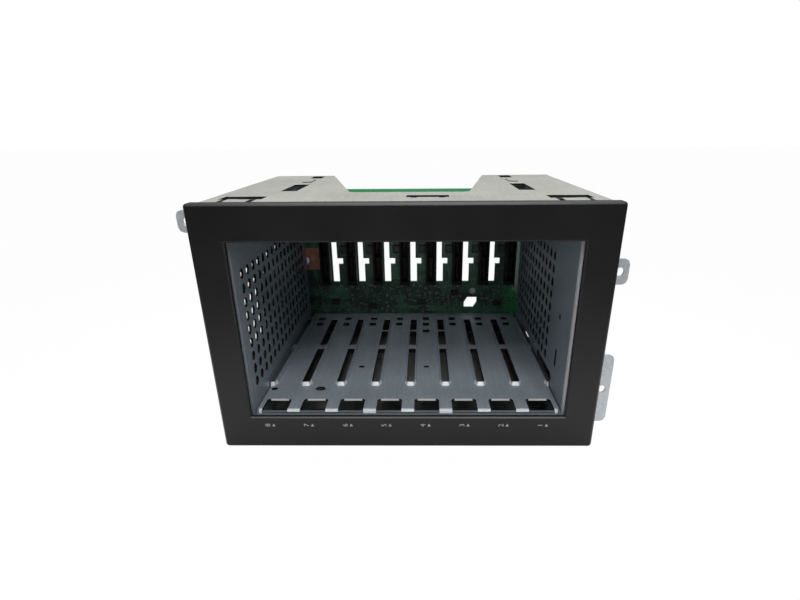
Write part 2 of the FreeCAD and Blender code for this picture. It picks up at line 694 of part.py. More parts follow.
def guide_plate(floor):
    """Floor plate with raised rails; the ceiling is its mirror with plain rails."""
    plate = guide_sheet()
    inside = box(-MOUTH_HALF + SHEET / 2, MOUTH_HALF - SHEET / 2, 0, BOARD_Y, 0, FRAME_HEIGHT)
    top = FLOOR_TOP + RAIL_HEIGHT
    bosses = [rail_shape(x, FLOOR_TOP - SHEET / 2, top).common(inside) for x in rail_positions()]
    plate = fuse_all([plate] + bosses)
    cuts = []
    for index, x in enumerate(rail_positions()):
        middle_rail = abs(index - BAY_COUNT / 2) < 2
        bridges = RAIL_BRIDGES if middle_rail else RAIL_BRIDGES[:1]
        cuts += rail_slots(x, bridges)
    for x in bay_centres():
        cuts.append(release_notch(x))
    if floor:
        return cut_all(plate, cuts + floor_holes())
    cuts.append(box(-MOUTH_HALF, MOUTH_HALF, WALL_REAR + 1, BOARD_Y, 0, FLOOR_TOP - REAR_LIP))
    return cut_all(plate, cuts).mirror(V(0, 0, BAY_MIDDLE), V(0, 0, 1))


def floor_holes():
    """Key windows, locating holes and screw holes that only the floor has."""
    low = FLOOR_TOP - 2 * SHEET
    width, length = KEY_HOLE
    cuts = []
    windows = [(bay + 1, y) for bay in range(BAY_COUNT) for y in KEY_HOLE_ROWS]
    for bay, y in windows + [EXTRA_KEY_HOLE]:
        x = bay_centres()[bay - 1]
        cuts.append(box(x - width / 2, x + width / 2, y - length / 2, y + length / 2, low, FLOOR_TOP + SHEET))
    holes = [(bay_centres()[bay - 1], y, radius) for bay, y, radius in LOCATING_HOLES]
    for x, y, radius in holes + [(TOOLING_HOLE_INSET - MOUTH_HALF, TOOLING_HOLE_Y, TOOLING_HOLE_R)]:
        cuts.append(pin(radius, 4 * SHEET, V(x, y, low), V(0, 0, 1), HEAD_SIDES))
    for x in (-FLOOR_SCREW_X, FLOOR_SCREW_X):
        cuts.append(pin(SCREW_R + HOLE_CLEAR, 4 * SHEET, V(x, BOARD_Y - 2 * SHEET, FLOOR_SCREW_Z), V(0, 1, 0)))
    return cuts


# ---------------------------------------------------------------- backplane board
def air_slot(x):
    """Tall see-through slot with a step in its width and a notch to the right."""
    left = x - AIR_SLOT_WIDE / 2
    right = left + AIR_SLOT_WIDE
    notch_out, notch_high = AIR_NOTCH
    corners = [
        V(left, 0, AIR_SLOT_LOW),
        V(right, 0, AIR_SLOT_LOW),
        V(right, 0, AIR_SLOT_STEP - notch_high),
        V(right + notch_out, 0, AIR_SLOT_STEP - notch_high),
        V(right + notch_out, 0, AIR_SLOT_STEP),
        V(left + AIR_SLOT_NARROW, 0, AIR_SLOT_STEP),
        V(left + AIR_SLOT_NARROW, 0, MOUTH_TOP - AIR_SLOT_HEAD),
        V(left, 0, MOUTH_TOP - AIR_SLOT_HEAD),
    ]
    slot = prism(corners, V(0, 3 * BOARD_THICK, 0))
    slot.translate(V(0, BOARD_Y - BOARD_THICK, 0))
    return slot


def key_port():
    x, z = KEY_PORT
    width, height = KEY_PORT_SIZE
    corners = []
    for dx, dz in ((-0.5, -0.5), (0.25, -0.5), (0.5, 0), (0.5, 0.5), (-0.25, 0.5), (-0.5, 0)):
        corners.append(V(x + width * dx, BOARD_Y - BOARD_THICK, z + height * dz))
    return prism(corners, V(0, 3 * BOARD_THICK, 0))


def board_screw_points():
    points = [(x, z) for x in (-SCREW_X, SCREW_X) for z in (SCREW_LOW, SCREW_HIGH)]
    return points + [(-FLOOR_SCREW_X, FLOOR_SCREW_Z), (FLOOR_SCREW_X, FLOOR_SCREW_Z)]


def ground_screw_z():
    return GROUND_PAD_LOW + GROUND_PAD[2] * GROUND_PAD_SHARE


def backplane_board():
    board = rounded_block(-BOARD_HALF_WIDTH, BOARD_HALF_WIDTH, BOARD_BOTTOM, BOARD_TOP, BOARD_Y, BOARD_BACK,
                          BOARD_CORNER)
    cuts = [air_slot(x + AIR_SLOT_OFFSET) for x in bay_boundaries()[1:-1]]
    cuts.append(key_port())
    for x, z in board_screw_points() + [(GROUND_SCREW_X, ground_screw_z())]:
        cuts.append(pin(SCREW_R + HOLE_CLEAR, 3 * BOARD_THICK, V(x, BOARD_Y - BOARD_THICK, z), V(0, 1, 0)))
    return cut_all(board, cuts)


def drive_connector(x):
    """Socket for one carrier, with a long mouth and an L-keyed contact tongue."""
    width, depth, height = DRIVE_PLUG
    low = DRIVE_PLUG_LOW
    high = low + height
    front = BOARD_Y - depth
    body = box(x - width / 2, x + width / 2, front, BOARD_Y, low, high)
    wall = DRIVE_PLUG_WALL
    mouth = box(x - width / 2 + wall, x + width / 2 - wall, front - 1, front + DRIVE_PLUG_POCKET,
                low + 2 * wall, high - 2 * wall)
    body = body.cut(mouth)
    tongue_front = front + DRIVE_PLUG_TONGUE_IN
    tongue_rear = front + DRIVE_PLUG_POCKET + wall / 2
    split = low + height * DRIVE_PLUG_SPLIT
    tongues = []
    for z0, z1 in ((low + 4 * wall, split), (split + DRIVE_PLUG_KEY_GAP, high - 4 * wall)):
        tongues.append(box(x - DRIVE_PLUG_TONGUE / 2, x + DRIVE_PLUG_TONGUE / 2, tongue_front, tongue_rear, z0, z1))
    return fuse_all([body] + tongues)


def led_blocks():
    width, depth, height = LED_BLOCK
    blocks = []
    for x in bay_boundaries()[1:-1]:
        left = x + LED_OFFSET
        blocks.append(box(left, left + width, BOARD_Y - depth, BOARD_Y, LED_Z - height / 2, LED_Z + height / 2))
    return Part.makeCompound(blocks)


def data_port(x):
    """Metal-shelled cable socket on the board's rear face, open to the rear."""
    width, depth, height = DATA_PORT
    wall = DATA_PORT_WALL
    z0 = DATA_PORT_Z - height / 2
    z1 = DATA_PORT_Z + height / 2
    rear = BOARD_BACK + depth
    shell = box(x - width / 2, x + width / 2, BOARD_BACK, rear, z0, z1)
    mouth = box(x - width / 2 + wall, x + width / 2 - wall, BOARD_BACK + 2 * wall, rear + 1, z0 + wall, z1 - 2 * wall)
    blade = box(x - width / 2 + 3 * wall, x + width / 2 - 3 * wall, BOARD_BACK + wall, rear - 3 * wall,
                DATA_PORT_Z - wall, DATA_PORT_Z)
    latch = box(x - width / 6, x + width / 6, rear - 4 * wall, rear - wall, z1 - 3 * wall, z1 + wall)
    return fuse_all([shell.cut(mouth).cut(latch), blade])


def power_connector():
    """Keyed two-row header with square pin cells open to the rear."""
    width, depth, height = POWER_PLUG
    z0 = POWER_PLUG_Z - height / 2
    rear = BOARD_BACK + depth
    body = box(-width / 2, width / 2, BOARD_BACK, rear, z0, z0 + height)
    latch = box(-width / 8, width / 8, rear - depth / 3, rear - depth / 6, z0 + height, z0 + height + POWER_LATCH)
    cells = []
    half = POWER_PIN_HOLE / 2
    for row in (-0.5, 0.5):
        for column in range(POWER_PINS):
            x = (column - (POWER_PINS - 1) / 2) * POWER_PIN_PITCH
            z = POWER_PLUG_Z + row * POWER_PIN_PITCH
            cells.append(box(x - half, x + half, BOARD_BACK + depth / 3, rear + 1, z - half, z + half))
    return cut_all(fuse_all([body, latch]), cells)


def controller_chip():
    half = CHIP_SIZE / 2
    return box(CHIP_X - half, CHIP_X + half, BOARD_BACK, BOARD_BACK + CHIP_THICK, CHIP_Z - half, CHIP_Z + half)


def board_capacitors():
    cans = []
    for x in CAPACITOR_X:
        cans.append(pin(CAPACITOR_R, CAPACITOR_HEIGHT, V(x, BOARD_BACK, CAPACITOR_Z), V(0, 1, 0), HEAD_SIDES))
    return Part.makeCompound(cans)


# ---------------------------------------------------------------- ground contact
def ground_pad():
    width, thick, height = GROUND_PAD
    pad = box(GROUND_PAD_LEFT, GROUND_PAD_LEFT + width, BOARD_Y - thick, BOARD_Y,
              GROUND_PAD_LOW, GROUND_PAD_LOW + height)
    return pad.cut(pin(GROUND_SCREW_R + HOLE_CLEAR, 3, V(GROUND_SCREW_X, BOARD_Y - 2, ground_screw_z()), V(0, 1, 0)))


def ground_screw():
    head_face = BOARD_Y - GROUND_PAD[1]
    seat = V(GROUND_SCREW_X, head_face, ground_screw_z())
    head = pin_head(GROUND_HEAD_R, GROUND_HEAD_R * HEAD_TOP, GROUND_HEAD, seat, V(0, -1, 0), HEAD_SIDES)
    shank = pin(GROUND_SCREW_R, BOARD_THICK + GROUND_PAD[1] + GROUND_REACH, seat, V(0, 1, 0))
    return fuse_all([head, shank])


def ground_nut():
    seat = V(GROUND_SCREW_X, BOARD_BACK, ground_screw_z())
    nut = pin(NUT_R, NUT_THICK, seat, V(0, 1, 0), 6)
    return nut.cut(pin(GROUND_SCREW_R + HOLE_CLEAR, NUT_THICK + 2, seat - V(0, 1, 0), V(0, 1, 0)))


# ---------------------------------------------------------------- fasteners
def board_screw(x, z):
    head = pin_head(SCREW_HEAD_R, SCREW_HEAD_R * HEAD_TOP, SCREW_HEAD, V(x, BOARD_BACK, z), V(0, 1, 0), HEAD_SIDES)
    length = BOARD_THICK + SHEET + SCREW_REACH
    shank = pin(SCREW_R, length, V(x, BOARD_BACK - length, z), V(0, 1, 0))
    return fuse_all([head, shank])


def backplane_screws():
    return Part.makeCompound([board_screw(x, z) for x, z in board_screw_points()])


def rivet(head_at, outward, grip):
    """Domed rivet through a stack of sheets; head_at lies on the outer face."""
    head = pin_head(RIVET_HEAD_R, RIVET_HEAD_R * HEAD_TOP, RIVET_HEAD, head_at, outward)
    shank = pin(RIVET_R, grip + RIVET_TAIL, head_at - outward * (grip + RIVET_TAIL), outward)
    return fuse_all([head, shank])


def side_rivets():
    rivets = []
    for side in (-1, 1):
        for z in (RIVET_LOW, RIVET_HIGH):
            for y in SIDE_RIVET_Y:
                rivets.append(rivet(V(side * CAGE_HALF, y, z), V(side, 0, 0), 2 * SHEET))
    return Part.makeCompound(rivets)


# ---------------------------------------------------------------- mounting ears
def ear_span(size):
    """Heights of an ear's lower and upper edge."""
    low = size[0]
    if low < 0:
        low += CAGE_TOP
    return low, low + size[1]


def ear_rivet_heights(low, high):
    if high - low < EAR_RIVET_SINGLE:
        return [(low + high) / 2]
    return [low + (high - low) / 4, high - (high - low) / 4]


def ear(size, seat, foot_low):
    """Right-hand angle bracket: a foot on the cage's side and a tab with a screw hole."""
    low, high = ear_span(size)
    tip = CAGE_HALF + size[2]
    tab_corners = [V(seat, EAR_Y, low), V(tip, EAR_Y, low), V(tip, EAR_Y, high), V(seat, EAR_Y, high)]
    tab = rounded_prism(tab_corners, [0, EAR_ROUND, EAR_ROUND, 0], V(0, EAR_SHEET, 0), True)
    relief = box(seat - 1, CAGE_HALF + SKIRT_GAP, EAR_Y - 1, EAR_Y + EAR_FOOT, low - 1, foot_low)
    foot = box(seat, seat + EAR_SHEET, EAR_Y, EAR_Y + EAR_FOOT, foot_low, high)
    hole_at = V(tip - size[3], EAR_Y - EAR_SHEET, (low + high) / 2)
    cuts = [rod(EAR_HOLE_R, 3 * EAR_SHEET, hole_at, V(0, 1, 0))]
    for z in ear_rivet_heights(foot_low, high):
        cuts.append(pin(RIVET_R + HOLE_CLEAR, 3 * EAR_SHEET, V(seat - EAR_SHEET, EAR_RIVET_Y, z), V(1, 0, 0)))
    return cut_all(fuse_all([tab.cut(relief), foot]), cuts)


def ear_holes(x, heights):
    """Rivet holes of the ears through the sheets on one side."""
    return [pin(RIVET_R + HOLE_CLEAR, 6 * SHEET, V(x - 3 * SHEET, EAR_RIVET_Y, z), V(1, 0, 0)) for z in heights]


def ear_rivets(left_heights, right_heights):
    """The right ears lie on the side sheet, the left one on the leg of the top sheet."""
    rivets = []
    for z in right_heights:
        rivets.append(rivet(V(PANEL_OUT + EAR_SHEET, EAR_RIVET_Y, z), V(1, 0, 0), SHEET + EAR_SHEET))
    for z in left_heights:
        rivets.append(rivet(V(-CAGE_HALF - EAR_SHEET, EAR_RIVET_Y, z), V(-1, 0, 0), 2 * SHEET + EAR_SHEET))
    return Part.makeCompound(rivets)


def write_all():
    lower_foot = SKIRT + SKIRT_GAP
    left_foot = ear_span(LEFT_EAR)[0]
    upper_foot = ear_span(RIGHT_UPPER_EAR)[0]
    left_heights = ear_rivet_heights(left_foot, ear_span(LEFT_EAR)[1])
    right_heights = ear_rivet_heights(lower_foot, ear_span(RIGHT_LOWER_EAR)[1])
    right_heights += ear_rivet_heights(upper_foot, ear_span(RIGHT_UPPER_EAR)[1])
    left_holes = ear_holes(-CAGE_HALF, left_heights)
    right_holes = ear_holes(PANEL_OUT, right_heights)
    right_panel = mirrored(outer_panel(RIGHT_WINDOW, FLANGE_RIGHT, False))
    right_first = VENT_FIRST_Y + VENT_PITCH_Y * RIGHT_PLAIN_COLUMNS
    right_columns = LEFT_VENT_COLUMNS - RIGHT_PLAIN_COLUMNS

    save_part("bezel_frame", bezel_frame())
    save_part("bottom_panel", bottom_panel())
    save_part("top_plate", cut_all(top_plate(), left_holes))
    save_part("left_outer_panel", cut_all(outer_panel(LEFT_WINDOW, FLANGE_LEFT, True), left_holes))
    save_part("right_outer_panel", cut_all(right_panel, right_holes))
    save_part("left_inner_wall", inner_wall(LEFT_VENT_COLUMNS, VENT_FIRST_Y, []))
    save_part("right_inner_wall", mirrored(inner_wall(right_columns, right_first, right_wall_cuts())))
    save_part("floor_guide_plate", guide_plate(True))
    save_part("ceiling_guide_plate", guide_plate(False))
    save_part("backplane_board", backplane_board())
    for index, x in enumerate(reversed(bay_centres())):
        save_part("drive_connector_%d" % (index + 1), drive_connector(x + DRIVE_PLUG_OFFSET))
    save_part("led_blocks", led_blocks())
    save_part("data_port_left", data_port(-DATA_PORT_X))
    save_part("data_port_right", data_port(DATA_PORT_X))
    save_part("power_connector", power_connector())
    save_part("controller_chip", controller_chip())
    save_part("board_capacitors", board_capacitors())
    save_part("ground_pad", ground_pad())
    save_part("ground_screw", ground_screw())
    save_part("ground_nut", ground_nut())
    save_part("backplane_screws", backplane_screws())
    save_part("side_rivets", side_rivets())
    save_part("left_ear", mirrored(ear(LEFT_EAR, CAGE_HALF, left_foot)))
    save_part("right_upper_ear", ear(RIGHT_UPPER_EAR, PANEL_OUT, upper_foot))
    save_part("right_lower_ear", ear(RIGHT_LOWER_EAR, PANEL_OUT, lower_foot))
    save_part("ear_rivets", ear_rivets(left_heights, right_heights))


write_all()
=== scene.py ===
"""Looks of the hot swap drive cage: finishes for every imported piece, and the fine pieces that the
solids leave plain, such as round vents, contacts, screws, small board parts and bay marks."""
import bmesh
import bpy
import json
from math import cos, pi, radians, sin
from mathutils import Matrix, Vector
from random import Random


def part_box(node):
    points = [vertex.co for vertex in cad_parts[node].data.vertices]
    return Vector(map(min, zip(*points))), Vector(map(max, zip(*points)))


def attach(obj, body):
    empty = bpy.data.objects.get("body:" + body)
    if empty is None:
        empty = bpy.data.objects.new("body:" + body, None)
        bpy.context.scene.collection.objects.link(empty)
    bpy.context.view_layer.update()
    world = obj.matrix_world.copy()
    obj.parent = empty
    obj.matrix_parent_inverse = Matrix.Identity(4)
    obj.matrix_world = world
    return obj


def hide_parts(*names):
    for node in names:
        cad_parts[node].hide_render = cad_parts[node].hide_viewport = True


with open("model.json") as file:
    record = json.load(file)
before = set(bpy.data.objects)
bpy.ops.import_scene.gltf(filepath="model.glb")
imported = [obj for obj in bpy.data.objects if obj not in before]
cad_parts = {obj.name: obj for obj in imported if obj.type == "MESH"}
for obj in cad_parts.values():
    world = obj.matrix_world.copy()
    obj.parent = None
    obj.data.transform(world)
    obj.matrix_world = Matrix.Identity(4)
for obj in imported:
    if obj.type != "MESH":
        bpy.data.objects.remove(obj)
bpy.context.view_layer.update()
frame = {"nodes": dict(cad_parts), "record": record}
nodes = frame["nodes"]
MM = 0.001
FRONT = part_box("bezel_frame")[0].y
TO_FRONT = Vector((0, -1, 0))
TO_REAR = Vector((0, 1, 0))


def at(x, y, z):
    """Point in metres from millimetres, with y counted from the front face."""
    return Vector((x * MM, y * MM + FRONT, z * MM))


def ends(node_name):
    """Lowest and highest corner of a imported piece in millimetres, with y counted from the front face."""
    shift = Vector((0, FRONT, 0))
    low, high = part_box(node_name)
    return (low - shift) / MM, (high - shift) / MM


# ------------------------ sizes repeated from the part, in mm
BAY_COUNT = 8
BAY_PITCH = 17.0
MOUTH_HALF = BAY_COUNT * BAY_PITCH / 2
LOWER_BAR = 14.9
SHEET = 1.0
VENT_RADIUS = 2.2
VENT_PITCH = (8.1, 6.05)
VENT_FIRST = (15.1, 25.7)
VENT_ROWS = 9
VENT_COLUMNS = 15
RIGHT_SKIPPED = 4
LED_OFFSET = 4.7
LED_WIDTH = 3.6
LED_Z = 57.8
POWER_PINS = [((column - 2) * 4.2, 16 + row * 4.2) for column in range(5) for row in (-0.5, 0.5)]
CAPACITOR_X = (-38.2, 18.4, 28.0)
CAPACITOR_Z = 28.0
DATA_PORT_X = (-56, 56)
BOARD_FRONT, BOARD_REAR = (corner.y for corner in ends("backplane_board"))
BAY_CENTRES = [BAY_PITCH * (step + 0.5) - MOUTH_HALF for step in range(BAY_COUNT)]
BAY_EDGES = [BAY_PITCH * step - MOUTH_HALF for step in range(BAY_COUNT + 1)]


# ------------------------ node helpers
def colour(text):
    """Linear colour of an sRGB hex value."""
    linear = []
    for start in (1, 3, 5):
        value = int(text[start:start + 2], 16) / 255
        linear.append(value / 12.92 if value <= 0.04045 else ((value + 0.055) / 1.055) ** 2.4)
    return (*linear, 1.0)


def add(tree, kind, links=None, **settings):
    """Adds one node: links gives each input a value, another node's output or a node, which stands for its
    first output; settings gives the node's properties."""
    made = tree.nodes.new(kind)
    for name, value in settings.items():
        setattr(made, name, value)
    for socket, value in (links or {}).items():
        if isinstance(value, bpy.types.Node):
            value = value.outputs[0]
        if isinstance(value, bpy.types.NodeSocket):
            tree.links.new(value, made.inputs[socket])
        else:
            made.inputs[socket].default_value = value
    return made


def new_finish(name):
    """Empty material and the piece's own coordinates."""
    finish = bpy.data.materials.new(name)
    finish.use_nodes = True
    finish.node_tree.nodes.clear()
    place = add(finish.node_tree, "ShaderNodeTexCoord")
    return finish, finish.node_tree, place.outputs["Object"]


def grain(tree, place, size_mm, detail, stretch=(1, 1, 1)):
    """Noise whose bumps are size_mm apart, drawn out where stretch is under one."""
    spread = add(tree, "ShaderNodeMapping", {"Vector": place, "Scale": stretch})
    return add(tree, "ShaderNodeTexNoise",
               {"Vector": spread, "Scale": 1000 / size_mm, "Detail": detail}).outputs["Fac"]


def ramp(tree, value, stops):
    """Colour ramp through (position, hex colour) stops."""
    made = add(tree, "ShaderNodeValToRGB", {"Fac": value})
    elements = made.color_ramp.elements
    while len(elements) < len(stops):
        elements.new(0.5)
    for element, (position, text) in zip(elements, stops):
        element.position = position
        element.color = colour(text)
    return made.outputs["Color"]


def spread_value(tree, value, low, high):
    """Value moved from 0..1 to low..high."""
    return add(tree, "ShaderNodeMapRange", {"Value": value, "To Min": low, "To Max": high})


def reach(tree, value, start_mm, end_mm):
    """Rises smoothly from nought at start_mm to one at end_mm along one of the piece's axes."""
    return add(tree, "ShaderNodeMapRange",
               {"Value": value, "From Min": start_mm * MM, "From Max": end_mm * MM},
               interpolation_type="SMOOTHSTEP")


def blend(tree, factor, *tones):
    """Colour between two others."""
    # the colour sockets of a Mix node follow its float and vector ones
    links = {"Factor": factor}
    for socket, tone in zip((6, 7), tones):
        links[socket] = colour(tone) if isinstance(tone, str) else tone
    return add(tree, "ShaderNodeMix", links, data_type="RGBA").outputs[2]


def figured(tree, operation, *values):
    """Result of an operation on one or two values."""
    return add(tree, "ShaderNodeMath", dict(enumerate(values)), operation=operation)


def product(tree, first, second):
    """One value times another."""
    return figured(tree, "MULTIPLY", first, second)


def relief(tree, height, depth_mm, strength):
    """Shading normal of a fine relief whose height is a value from nought to one."""
    return add(tree, "ShaderNodeBump", {"Height": height, "Strength": strength, "Distance": depth_mm * MM})


def surface(tree, **sockets):
    """Principled surface on the output; names use _ for the blanks of a socket."""
    values = {name.replace("_", " "): value for name, value in sockets.items()}
    skin = add(tree, "ShaderNodeBsdfPrincipled", values)
    add(tree, "ShaderNodeOutputMaterial", {"Surface": skin})


# ------------------------ finishes
# near-white tone of the painted highlights on the zinc sheet
PAINTED_HIGHLIGHT_TONE = "#f6f8fb"


def mottled(name, size_mm, detail, stops, rough, bump=None, stretch=(1, 1, 1), **sockets):
    """Finish whose colour through stops and whose roughness from low to high follow one noise. The relief
    follows it too where bump gives its depth in mm and its strength."""
    finish, tree, place = new_finish(name)
    cloud = grain(tree, place, size_mm, detail, stretch)
    if bump:
        sockets["Normal"] = relief(tree, cloud, *bump)
    surface(tree, Base_Color=ramp(tree, cloud, stops), Roughness=spread_value(tree, cloud, *rough), **sockets)
    return finish


def moulded_abs():
    """ABS moulded in a spark-eroded tool: deep black with a fine even grain that scatters the light."""
    finish, tree, place = new_finish("moulded_abs_black")
    fine = grain(tree, place, 0.7, 2.0)
    broad = grain(tree, place, 22.0, 3.0)
    tone = ramp(tree, broad, [(0.3, "#0a0a0c"), (0.7, "#101013")])
    surface(tree, Base_Color=tone, IOR=1.46, Roughness=spread_value(tree, broad, 0.36, 0.46),
            Normal=relief(tree, fine, 0.05, 0.4))
    return finish


def zinc_sheet(name, dark, light, metal, rough, highlight_to=None):
    """Zinc-coated steel sheet: soft grey, with faint spangle, rolling grain and handling marks. Where a depth
    is given as the last argument, a painted highlight makes it bright from the front edge back to that depth."""
    finish, tree, place = new_finish(name)
    crystal_mm = 1.5  # coarse enough to show
    crystal = add(tree, "ShaderNodeTexVoronoi", {"Vector": place, "Scale": 1000 / crystal_mm})
    rolling = grain(tree, place, 1.2, 3.0, (1, 0.06, 1))
    clouds = grain(tree, place, 30.0, 4.0)
    mixed = add(tree, "ShaderNodeMix", {"Factor": 0.45, "A": clouds, "B": rolling})
    speckled = add(tree, "ShaderNodeMix", {"Factor": 0.16, "A": mixed, "B": crystal.outputs["Distance"]})
    tone = ramp(tree, speckled, [(0.3, dark), (0.68, light)])
    if highlight_to:
        # painted highlight: the sheet is blended to near white from the front edge back to the given depth
        depth = add(tree, "ShaderNodeSeparateXYZ", {0: place}).outputs["Y"]
        fade = 0.4
        bright = reach(tree, depth, highlight_to + fade + FRONT / MM, highlight_to - fade + FRONT / MM)
        tone = blend(tree, bright, tone, PAINTED_HIGHLIGHT_TONE)
    surface(tree, Base_Color=tone, Metallic=metal,
            Roughness=spread_value(tree, mixed, rough - 0.06, rough + 0.08),
            Normal=relief(tree, rolling, 0.02, 0.35))
    return finish


def masked_laminate():
    """Glass-epoxy board under green solder mask: nearly black green and glossy over fine copper lines, a
    brighter green at the right end that fades upwards, a painted light band of brighter green along the upper
    rim, and a pale raw edge where it was routed."""
    finish, tree, place = new_finish("fr4_green_mask")
    upright = add(tree, "ShaderNodeMapping", {"Vector": place, "Rotation": (radians(90), 0, 0)})
    bent = add(tree, "ShaderNodeMapping",
               {"Vector": upright, "Rotation": (0, 0, radians(90)), "Scale": (0.8, 1.3, 1)})
    lines = []
    for direction in (upright, bent):
        bundle = add(tree, "ShaderNodeTexWave", {"Vector": direction, "Scale": 330.0, "Distortion": 1.2,
                                                 "Detail": 1.0, "Detail Scale": 0.6})
        patches = grain(tree, direction, 9.0, 2.0, (1, 0.3, 1))
        where = ramp(tree, patches, [(0.52, "#000000"), (0.58, "#ffffff")])
        lines.append(product(tree, bundle.outputs["Fac"], where))
    copper = figured(tree, "MAXIMUM", *lines)
    blotch = grain(tree, place, 7.0, 4.0)
    tone = ramp(tree, product(tree, copper, blotch), [(0.05, "#25493a"), (0.5, "#4f8f70")])
    axes = add(tree, "ShaderNodeSeparateXYZ", {0: place}).outputs
    facing = add(tree, "ShaderNodeSeparateXYZ",
                 {0: add(tree, "ShaderNodeTexCoord").outputs["Normal"]}).outputs["Y"]
    front = figured(tree, "LESS_THAN", facing, 0.0)
    # where the brighter green at the right end, the pale strip beside it and the upper rim's painted light
    # fade in, in mm
    bright_end_x, bright_end_z = (57.0, 63.0), (46.0, 28.0)
    strip_x, strip_z = (65.2, 66.0), (24.0, 40.0)
    painted_light_rim_z = (90.6, 91.4)
    for across, upward, text in ((bright_end_x, bright_end_z, "#2aa45a"), (strip_x, strip_z, "#bfe0cd")):
        area = product(tree, reach(tree, axes["X"], *across), reach(tree, axes["Z"], *upward))
        tone = blend(tree, product(tree, front, area), tone, text)
    # painted light: the mask above the rim is a brighter green, as if lit from above
    tone = blend(tree, reach(tree, axes["Z"], *painted_light_rim_z), tone, "#3f9462")
    edge = figured(tree, "LESS_THAN", figured(tree, "ABSOLUTE", facing), 0.5)
    raw = ramp(tree, grain(tree, place, 0.9, 2.0), [(0.35, "#4a9465"), (0.7, "#74c08e")])
    surface(tree, Base_Color=blend(tree, edge, tone, raw), IOR=1.55,
            Roughness=spread_value(tree, blotch, 0.26, 0.4), Normal=relief(tree, copper, 0.03, 0.4))
    return finish


def filled_nylon(name, dark, light):
    """Glass-filled nylon of a connector body: slightly mottled, with a dull satin skin."""
    return mottled(name, 0.8, 3.0, [(0.3, dark), (0.7, light)], (0.55, 0.7), (0.02, 0.5), (1, 1, 0.25),
                   IOR=1.4)


def plated_metal(name, dark, light, rough):
    """Thin bright plating on a small metal piece, a little cloudy from handling."""
    finish, tree, place = new_finish(name)
    cloud = grain(tree, place, 1.6, 3.0)
    scratch = grain(tree, place, 0.8, 2.0, (1, 0.15, 1))
    tone = ramp(tree, cloud, [(0.3, dark), (0.7, light)])
    surface(tree, Base_Color=tone, Metallic=1.0,
            Roughness=spread_value(tree, scratch, rough - 0.07, rough + 0.1),
            Normal=relief(tree, scratch, 0.015, 0.4))
    return finish


def light_pipe():
    """Clear polycarbonate light pipe, smoky when it isn't lit."""
    return mottled("smoky_light_pipe", 2.0, 2.0, [(0.3, "#0a1311"), (0.7, "#121f1b")], (0.3, 0.4), IOR=1.58)


def moulded_resin():
    """Epoxy of a chip: matt black with a sandy bloom."""
    return mottled("chip_epoxy", 0.5, 3.0, [(0.3, "#151517"), (0.7, "#242427")], (0.5, 0.62), (0.02, 0.5),
                   IOR=1.55)


def brown_contact():
    """Contact land of bare copper that has darkened to a dull red brown in air."""
    return mottled("darkened_copper", 4.0, 4.0, [(0.3, "#a87460"), (0.55, "#d09478"), (0.8, "#e6b898")],
                   (0.38, 0.6), (0.03, 0.4), Metallic=0.55)


def marking_ink():
    """Pad-printed ink on the frame: light grey, matt, a little thin in places."""
    return mottled("light_marking_ink", 0.5, 2.0, [(0.2, "#88888c"), (0.6, "#aeaeb2")], (0.6, 0.75), IOR=1.5)


def ceramic_part():
    """Small board parts: sintered ceramic and resin in greys and browns that differ from part to part."""
    finish, tree, place = new_finish("ceramic_chip_part")
    cell_mm = 4.0
    cell = add(tree, "ShaderNodeTexVoronoi", {"Vector": place, "Scale": 1000 / cell_mm})
    pick = add(tree, "ShaderNodeSeparateXYZ", {0: cell.outputs["Color"]}).outputs["X"]
    tone = ramp(tree, pick, [(0.1, "#242424"), (0.45, "#4a423c"), (0.7, "#74664f"), (0.95, "#8a8a84")])
    sand = grain(tree, place, 0.6, 3.0)
    surface(tree, Base_Color=tone, IOR=1.6, Roughness=spread_value(tree, sand, 0.35, 0.5))
    return finish


INNER_ZINC = ("#8d979f", "#a6b0b8", 0.35, 0.38)
FINISHES = {
    "frame_plastic": moulded_abs(),
    "outer_steel": zinc_sheet("zinc_sheet_outer", "#94948f", "#acaca7", 0.4, 0.5),
    "inner_steel": zinc_sheet("zinc_sheet_inner", *INNER_ZINC),
    "board": masked_laminate(),
    "connector_plastic": filled_nylon("nylon_black", "#08080a", "#111113"),
    "power_plastic": filled_nylon("nylon_natural", "#b9b39f", "#cfc9b6"),
    "port_shell": plated_metal("nickel_shell", "#a2a4a4", "#c6c8c8", 0.3),
    "led_plastic": light_pipe(),
    "chip_resin": moulded_resin(),
    "capacitor_can": plated_metal("drawn_aluminium_can", "#a9abae", "#c9cbce", 0.34),
    "pad_copper": brown_contact(),
    "ear_steel": zinc_sheet("zinc_sheet_ears", "#b6b9bd", "#d4d7da", 0.5, 0.45),
    "fastener_steel": plated_metal("zinc_fastener", "#a4a8ac", "#ccd0d4", 0.32),
}
GOLD = plated_metal("gold_flash", "#8a6c2c", "#b8964a", 0.34)
TIN = plated_metal("tinned_solder", "#b4b8b8", "#dde0e0", 0.28)
DULL_TIN = plated_metal("dull_reflowed_tin", "#7c807f", "#a0a4a3", 0.5)
INK = marking_ink()
CERAMIC = ceramic_part()
# painted highlight on the front lip's bends and the rails' noses
PAINTED_BEND_HIGHLIGHT = zinc_sheet("painted_bend_highlight", "#c8ced6", "#e2e6ec", 0.1, 0.4)
# painted highlight on the release notches' rear edges
PAINTED_EDGE_HIGHLIGHT = zinc_sheet("painted_edge_highlight", "#eceff3", PAINTED_HIGHLIGHT_TONE, 0.0, 0.35)
# finish with a painted highlight along the right wall's front edge, where its bend catches the light
PAINTED_HIGHLIGHT_WALL = zinc_sheet("zinc_sheet_painted_highlight", *INNER_ZINC, 7.4)
